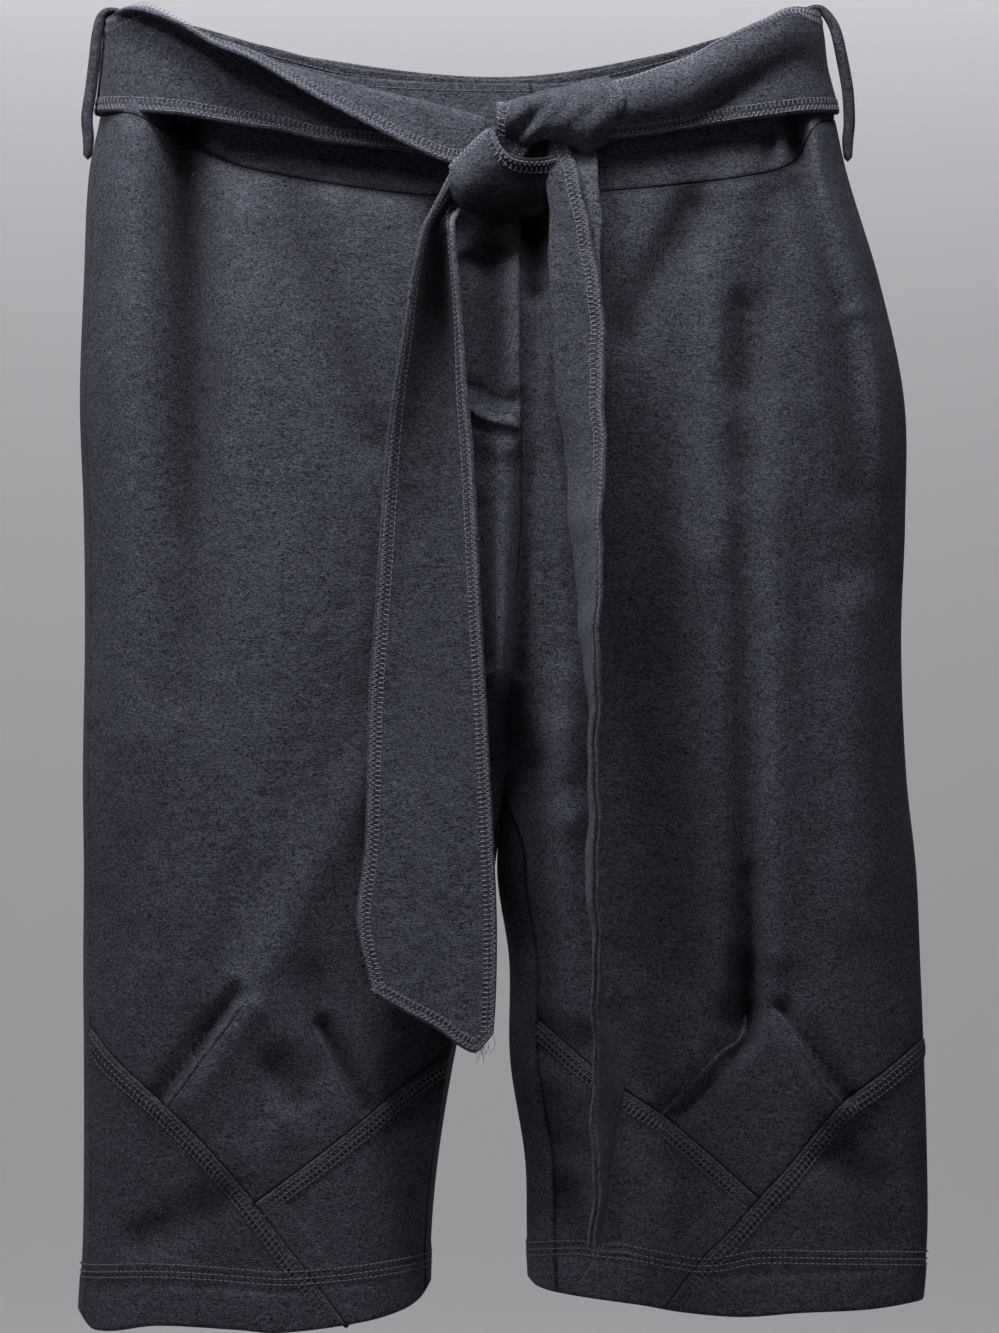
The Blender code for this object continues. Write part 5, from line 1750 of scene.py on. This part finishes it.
class SHORTS_OT_darts(bpy.types.Operator):
    """Makes the pressed lines of the knee darts and the raised foot of the fly"""

    bl_idname = "shorts.darts"
    bl_label = "Darts and fly foot"

    def execute(self, context):
        for half, darts in ((LEFT, LEFT_DARTS), (RIGHT, RIGHT_DARTS)):
            lines = []
            for points, width in zip(darts, (DART_WIDTH, -DART_WIDTH)):
                path, normals = drawn_path(half, "front", points, pitch=1.2)
                lines.append(raised_line(path, normals, DART_SECTION, width, DART_HEIGHT, 0.12))
            line_piece(f"darts_{half.side}", lines)
        paths = [drawn_path(LEFT, "front", points, FLY_OVER) for points in FLY_STITCH]
        lines = []
        for path, normals in paths:
            even = resample(path, normals, 1.0)
            spread = np.linspace(0, len(even[0]) - 1, FLY_ROLL_POINTS).round().astype(int)
            lines.append((even[0][spread], even[1][spread]))
        (upper, facing), (lower, _) = lines
        width = np.linalg.norm(upper - lower, axis=1) / 2
        roll = raised_line((upper + lower) / 2, facing, ROLL_SECTION, width, FLY_ROLL_HEIGHT)
        line_piece("fly_foot", [roll])
        return {"FINISHED"}


class SHORTS_OT_seam_stitching(bpy.types.Operator):
    """Sews the slanted seams, the hems and the fly"""

    bl_idname = "shorts.seam_stitching"
    bl_label = "Seam stitching"

    def execute(self, context):
        for half in (LEFT, RIGHT):
            v, runout = corner_shares(half)
            thread = Thread(f"{half.side}_seams")
            cover_rows(thread, half, half.long_seam, np.linspace(0.0, runout - 0.01, 160))
            cover_rows(thread, half, half.short_seam, np.linspace(v + 0.035, 1.0, 160))
            thread.build("wool")
            thread = Thread(f"{half.side}_hems")
            for face in ("front", "back"):
                line = half.hem_stitch
                for drop in HEM_ROWS:
                    path, normals = skin_path(half, face, lowered(line, drop), np.linspace(0, 1, 200))
                    thread.row(path + normals * HEM_LIFT, normals, radius=1.2)
            thread.build("wool")
        thread = Thread("waistbands")
        shares = np.linspace(0.02, 1.0, 160)
        thickness = cloth_sizes().thickness
        for half, lap in ((LEFT, BAND_OVER), (RIGHT, BAND_UNDER)):
            thread.row(*skin_path(half, "front", lowered(FRONT_TOP_LINE, EDGE_STITCH), shares, lap))
            path, normals = skin_path(half, "back", lowered(BACK_TOP_LINE, EDGE_STITCH), shares)
            thread.row(path, normals)
            thread.row(path - normals * thickness, -normals)
            thread.row(*skin_path(half, "back", lowered(BACK_WAIST_LINE, -EDGE_STITCH / 2), shares))
        thread.build("wool")
        thread = Thread("fly")
        for points in FLY_STITCH:
            thread.row(*drawn_path(LEFT, "front", points, FLY_OVER), radius=0.9)
        thread.build("wool")
        return {"FINISHED"}


WHOLE = (0.0, 1.0)
KNOT_PATCH = (0.16, 0.46)
# Faces of the belt that are sewn: the back stretch and the folded tail hide one of theirs
BOTH_FACES = (1, -1)
ONE_FACE = (1,)
OTHER_FACE = (-1,)


def part_of(path, turned, stretch):
    """The part of a path of points between two shares of its length."""
    steps = np.linalg.norm(np.diff(path, axis=0), axis=1)
    reach = np.concatenate([[0.0], np.cumsum(steps)]) / steps.sum()
    kept = (reach >= stretch[0]) & (reach <= stretch[1])
    return path[kept], turned[kept]


def belt_edge_stitches(thread, grid, edges, stretch, sides):
    """Coverstitch along the long edges of a stretch of belt, on those of its two faces that show."""
    thickness = cloth_sizes().thickness
    for side in sides:
        facing = grid_normals(grid) * side
        surface = grid + facing * thickness / 2
        for edge in edges:
            for inset in BELT_ROWS:
                path, turned = part_of(*inset_path(surface, facing, edge, inset), stretch)
                thread.row(path, turned)
            path, turned = part_of(*inset_path(surface, facing, edge, BELT_ROWS[0]), stretch)
            inner = inset_path(surface, facing, edge, BELT_ROWS[1])[0].mean(axis=0)
            _, across = bend_normal(path, turned)
            way = 1.0 if np.sum((inner - path.mean(axis=0)) * across) > 0 else -1.0
            (near, width), (edge_near, edge_width) = BELT_LADDER, BELT_ZIGZAG
            thread.ladder(path, turned, way * near, way * width, slant=0.1, radius=1.0, pitch=0.9)
            thread.zigzag(path, turned, way * edge_near, way * edge_width, radius=0.9, pitch=0.9)


class SHORTS_OT_belt_stitching(bpy.types.Operator):
    """Sews the edges of the belt and its tails"""

    bl_idname = "shorts.belt_stitching"
    bl_label = "Belt stitching"

    def execute(self, context):
        pitch = cloth_sizes().pitch
        left, right = front_belt_grid(LEFT, LEFT_BELT, pitch), front_belt_grid(RIGHT, RIGHT_BELT, pitch)
        long_edges = ("top", "bottom")
        stretches = (
            ("belt_left", left, long_edges, WHOLE, BOTH_FACES),
            ("belt_right", right, long_edges, WHOLE, BOTH_FACES),
            ("belt_back", back_belt_grid(pitch), long_edges, WHOLE, ONE_FACE),
            ("belt_knot", knot_grid(), ("left",), WHOLE, BOTH_FACES),
            ("belt_knot_end", knot_grid(), ("right",), KNOT_PATCH, BOTH_FACES),
            ("belt_lobe", lobe_grid(), ("top",), WHOLE, BOTH_FACES),
            ("belt_left_tail", left_tail_grid(pitch), ("left", "right", "bottom"), WHOLE, BOTH_FACES),
            ("belt_right_tail", right_tail_grid(pitch), ("left", "right"), WHOLE, OTHER_FACE),
        )
        for name, grid, edges, stretch, sides in stretches:
            thread = Thread(name)
            belt_edge_stitches(thread, grid, edges, stretch, sides)
            thread.build("belt_wool")
        return {"FINISHED"}


# Long loose threads at the tails
LOOSE_THREADS = (
    ((64.5, -54, -604), (62, -55.5, -612), (62.5, -56.5, -620), (58.5, -57, -627), (55.5, -56, -632)),
    ((65.5, -53, -606), (66.5, -55.5, -614), (63.5, -56.5, -619), (64, -57, -626)),
    ((62.5, -66.5, -440), (66, -68, -446), (65, -68.5, -455), (67, -68, -463)),
    ((12, -54, -508), (13.5, -55, -514), (10.5, -55.5, -519)),
)

# Ends that fray: the middle of the end, its extent and how many threads, and how long and uneven they are
FRAYED_ENDS = (
    ((64.5, -54, -613), (4, 22, 0), 46),
    ((8, -54.5, -516.5), (8, 0, 4), 12),
)
FRAY_LENGTH = (2.0, 6.5)
FRAY_DRIFT = 0.45
FRAY_POINTS = 5
FRAY_START = np.array([0.0, 0.0, 1.5])

# Loose hairs of the wool: how many for each square metre of cloth, and their sizes. A hair rises from
# the cloth by a share of its length, its bow stands off the cloth, and its root and tip dip towards it.
HAIRS_EACH_AREA = 26000
HAIR_LENGTH = (1.6, 4.2)
HAIR_RISE = (0.05, 0.8)
HAIR_SHIFT = 1.2
HAIR_MIDDLE = 0.45
HAIR_BOW = 0.12
HAIR_ROOT = 0.05
HAIR_DROOP = 0.1
HAIR_RADIUS = 0.06


def hair_material():
    settings = {"Base Color": (0.30, 0.31, 0.35, 1.0), "Roughness": 0.8, "Specular IOR Level": 0.1}
    return surface("wool_hair", settings)[0]


def read_all(items, name, width=1, kind=float):
    """A value or a vector of each item of a mesh."""
    values = np.empty(len(items) * width, dtype=kind)
    items.foreach_get(name, values)
    return values if width == 1 else values.reshape(-1, width)


def hairs_on(piece, chance, outside_only):
    """Thin spindles that lie on a piece of cloth and lift at one end: their points and faces."""
    mesh = piece.data
    centres = read_all(mesh.polygons, "center", 3) / MM
    normals = read_all(mesh.polygons, "normal", 3)
    areas = read_all(mesh.polygons, "area")
    if outside_only:
        corners = read_all(mesh.loops, "vertex_index", kind=int)
        firsts = read_all(mesh.polygons, "loop_start", kind=int)
        areas = np.where(corners[firsts] < len(mesh.vertices) / 2, areas, 0.0)
    total = int(HAIRS_EACH_AREA * areas.sum())
    chosen = chance.choice(len(areas), total, p=areas / areas.sum())
    start, out = centres[chosen], normals[chosen]
    lean = chance.normal(size=(total, 3))
    lean = unit(lean - out * np.sum(lean * out, axis=1, keepdims=True))
    along = unit(lean + out * chance.uniform(*HAIR_RISE, (total, 1)))
    length = chance.uniform(*HAIR_LENGTH, (total, 1))
    start = start + lean * chance.uniform(-HAIR_SHIFT, HAIR_SHIFT, (total, 1))
    side = unit(np.cross(along, out))
    over = np.cross(side, along)
    middle = start + along * length * HAIR_MIDDLE + out * HAIR_BOW
    angles = (0.0, 2 * math.pi / 3, 4 * math.pi / 3)
    ring = [middle + (side * math.cos(a) + over * math.sin(a)) * HAIR_RADIUS for a in angles]
    root, tip = start - out * HAIR_ROOT, start + along * length - out * HAIR_DROOP
    points = np.stack([root, *ring, tip], axis=1)
    spindle = np.array([(0, 2, 1), (0, 3, 2), (0, 1, 3), (4, 1, 2), (4, 2, 3), (4, 3, 1)])
    faces = (spindle[None] + 5 * np.arange(total)[:, None, None]).reshape(-1, 3)
    return points.reshape(-1, 3), faces


class SHORTS_OT_frays(bpy.types.Operator):
    """Makes the loose threads of the belt's cut ends"""

    bl_idname = "shorts.frays"
    bl_label = "Frayed ends"

    def execute(self, context):
        thread = Thread("frayed_ends")
        chance = np.random.default_rng(11)
        lines = [np.array(points, float) for points in LOOSE_THREADS]
        for start, reach, count in FRAYED_ENDS:
            for _ in range(count):
                drift = chance.normal(0.0, FRAY_DRIFT, (FRAY_POINTS, 3)).cumsum(axis=0)
                fall = np.linspace(0, 1, FRAY_POINTS)[:, None] * chance.uniform(*FRAY_LENGTH)
                root = np.array(start) + np.array(reach) * chance.uniform(-0.5, 0.5)
                lines.append(root + drift - fall * np.array([0.0, 0.0, 1.0]) + FRAY_START)
        for line in lines:
            path = smooth(np.arange(len(line)), line, np.linspace(0, len(line) - 1, 3 * len(line)))
            facing = np.tile([0.0, -1.0, 0.0], (len(path) - 1, 1))
            thread.add(path[:-1], path[1:], facing, radius=0.42)
        thread.build("belt_wool")
        return {"FINISHED"}


class SHORTS_OT_nap(bpy.types.Operator):
    """Scatters loose hairs of wool over the cloth and the belt"""

    bl_idname = "shorts.nap"
    bl_label = "Loose hairs"

    def execute(self, context):
        chance = np.random.default_rng(7)
        material = hair_material()
        for slot, start in (
            ("wool", ("cloth_front", "cloth_back")),
            ("belt_wool", ("cloth_belt", "cloth_loop")),
        ):
            parts = Joined()
            for piece in [found for found in context.scene.objects if found.name.startswith(start)]:
                parts.add(*hairs_on(piece, chance, slot == "wool"))
            hairs = parts.mesh("hairs_" + slot, material)
            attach(hairs, ROOT)
        return {"FINISHED"}


# Studio

PICTURE_CENTRE = (15.75, -327.25)
PICTURE_HEIGHT = 666.5
FRONT_PLANE_Y = -8.0
SENSOR = 36.0
FLOOR_Z = -0.78
WALL_Y = 1.35
SWEEP_RADIUS = 0.9


# Lights: name, place, target, size, the property that holds its power, and its colour
GARMENT = (0.0, 0.0, -0.22)
WARM, COOL, WHITE = (1.0, 0.99, 0.97), (0.92, 0.95, 1.0), (1.0, 1.0, 1.0)
LIGHTS = (
    ("key_light", (-0.72, -0.62, 0.90), GARMENT, (0.34, 0.26), "key", WARM),
    ("top_light", (-0.06, -0.32, 0.66), GARMENT, (0.7, 0.14), "top", WARM),
    ("fill_light", (0.2, -2.4, 1.2), GARMENT, (1.6, 1.2), "fill", COOL),
    ("backdrop_top", (0.0, 1.13, 0.32), (0.0, WALL_Y, 0.1), (3.0, 0.1), "backdrop", WHITE),
    ("backdrop_foot", (0.0, 0.50, -0.76), (0.0, WALL_Y, -0.66), (3.0, 0.12), "backdrop", WHITE),
)
AIR_COLOUR = (0.85, 0.87, 0.92, 1.0)
AIR_STRENGTH = 0.04


def sweep_profile():
    """The studio's floor and wall as (y, z) in metres, joined by a quarter round."""
    points = [(-6.0, FLOOR_Z)]
    for i in range(17):
        angle = math.pi / 2 * i / 16
        y = WALL_Y - SWEEP_RADIUS + SWEEP_RADIUS * math.sin(angle)
        z = FLOOR_Z + SWEEP_RADIUS - SWEEP_RADIUS * math.cos(angle)
        points.append((y, z))
    points.append((WALL_Y, 4.0))
    return points


def area_light(name, place, target, size, power, colour):
    data = bpy.data.lights.new(name, "AREA")
    data.shape = "RECTANGLE"
    data.size, data.size_y = size
    data.energy = power
    data.color = colour
    light = bpy.data.objects.new(name, data)
    bpy.context.scene.collection.objects.link(light)
    light.location = place
    light.rotation_mode = "QUATERNION"
    light.rotation_quaternion = (Vector(target) - Vector(place)).to_track_quat("-Z", "Y")


class SHORTS_OT_stage(bpy.types.Operator):
    """Makes the floor, the backdrop, the lights and the camera"""

    bl_idname = "shorts.stage"
    bl_label = "Studio"

    def execute(self, context):
        stage = context.scene.shorts_stage
        profile = sweep_profile()
        points = np.array([[x, y, z] for y, z in profile for x in (-7.0, 7.0)]) / MM
        faces = [(2 * i, 2 * i + 1, 2 * i + 3, 2 * i + 2) for i in range(len(profile) - 1)]
        paper = {"Base Color": lit(stage.floor, 1.0), "Roughness": 0.9, "Specular IOR Level": 0.1}
        sweep = mesh_object("studio_sweep", points, faces, surface("studio_paper", paper)[0])

        for name, place, target, size, power, colour in LIGHTS:
            area_light(name, place, target, size, getattr(stage, power), colour)
        world = bpy.data.worlds.new("studio_air")
        world.use_nodes = True
        air = world.node_tree.nodes["Background"].inputs
        air["Color"].default_value = AIR_COLOUR
        air["Strength"].default_value = AIR_STRENGTH
        context.scene.world = world

        data = bpy.data.cameras.new("camera")
        data.sensor_width = SENSOR
        data.lens = SENSOR * stage.distance / (PICTURE_HEIGHT * MM)
        camera = bpy.data.objects.new("camera", data)
        context.scene.collection.objects.link(camera)
        x, z = PICTURE_CENTRE
        camera.location = (x * MM, FRONT_PLANE_Y * MM - stage.distance, z * MM)
        camera.rotation_euler = (math.pi / 2, 0.0, 0.0)
        context.scene.camera = camera
        context.scene.view_settings.view_transform = "Standard"
        return {"FINISHED"}


OPERATORS = (
    SHORTS_OT_stage,
    SHORTS_OT_back_panels,
    SHORTS_OT_front_panels,
    SHORTS_OT_hem_panels,
    SHORTS_OT_waistbands,
    SHORTS_OT_belt,
    SHORTS_OT_knot,
    SHORTS_OT_loops,
    SHORTS_OT_darts,
    SHORTS_OT_seam_stitching,
    SHORTS_OT_belt_stitching,
    SHORTS_OT_frays,
    SHORTS_OT_nap,
)


class SHORTS_PT_panel(bpy.types.Panel):
    """Sizes, colours and pieces of the shorts"""

    bl_idname = "SHORTS_PT_panel"
    bl_label = "Wool shorts"
    bl_space_type = "VIEW_3D"
    bl_region_type = "UI"
    bl_category = "Shorts"

    def draw(self, context):
        scene = context.scene
        for group in (scene.shorts_cloth, scene.shorts_stitching, scene.shorts_wool, scene.shorts_stage):
            box = self.layout.box()
            for name in group.__annotations__:
                box.prop(group, name)
        for operator in OPERATORS:
            self.layout.operator(operator.bl_idname)


GROUPS = {
    "shorts_cloth": ShortsCloth,
    "shorts_stitching": ShortsStitching,
    "shorts_wool": ShortsWool,
    "shorts_stage": ShortsStage,
}


def register():
    for name, group in GROUPS.items():
        bpy.utils.register_class(group)
        setattr(bpy.types.Scene, name, PointerProperty(type=group))
    for operator in OPERATORS:
        bpy.utils.register_class(operator)
    bpy.utils.register_class(SHORTS_PT_panel)


def unregister():
    bpy.utils.unregister_class(SHORTS_PT_panel)
    for operator in reversed(OPERATORS):
        bpy.utils.unregister_class(operator)
    for name, group in reversed(GROUPS.items()):
        delattr(bpy.types.Scene, name)
        bpy.utils.unregister_class(group)


def main():
    register()
    bpy.ops.shorts.stage()
    bpy.ops.shorts.back_panels()
    bpy.ops.shorts.front_panels()
    bpy.ops.shorts.hem_panels()
    bpy.ops.shorts.waistbands()
    bpy.ops.shorts.belt()
    bpy.ops.shorts.knot()
    bpy.ops.shorts.loops()
    bpy.ops.shorts.darts()
    bpy.ops.shorts.seam_stitching()
    bpy.ops.shorts.belt_stitching()
    bpy.ops.shorts.frays()
    bpy.ops.shorts.nap()


if __name__ == "__main__":
    main()
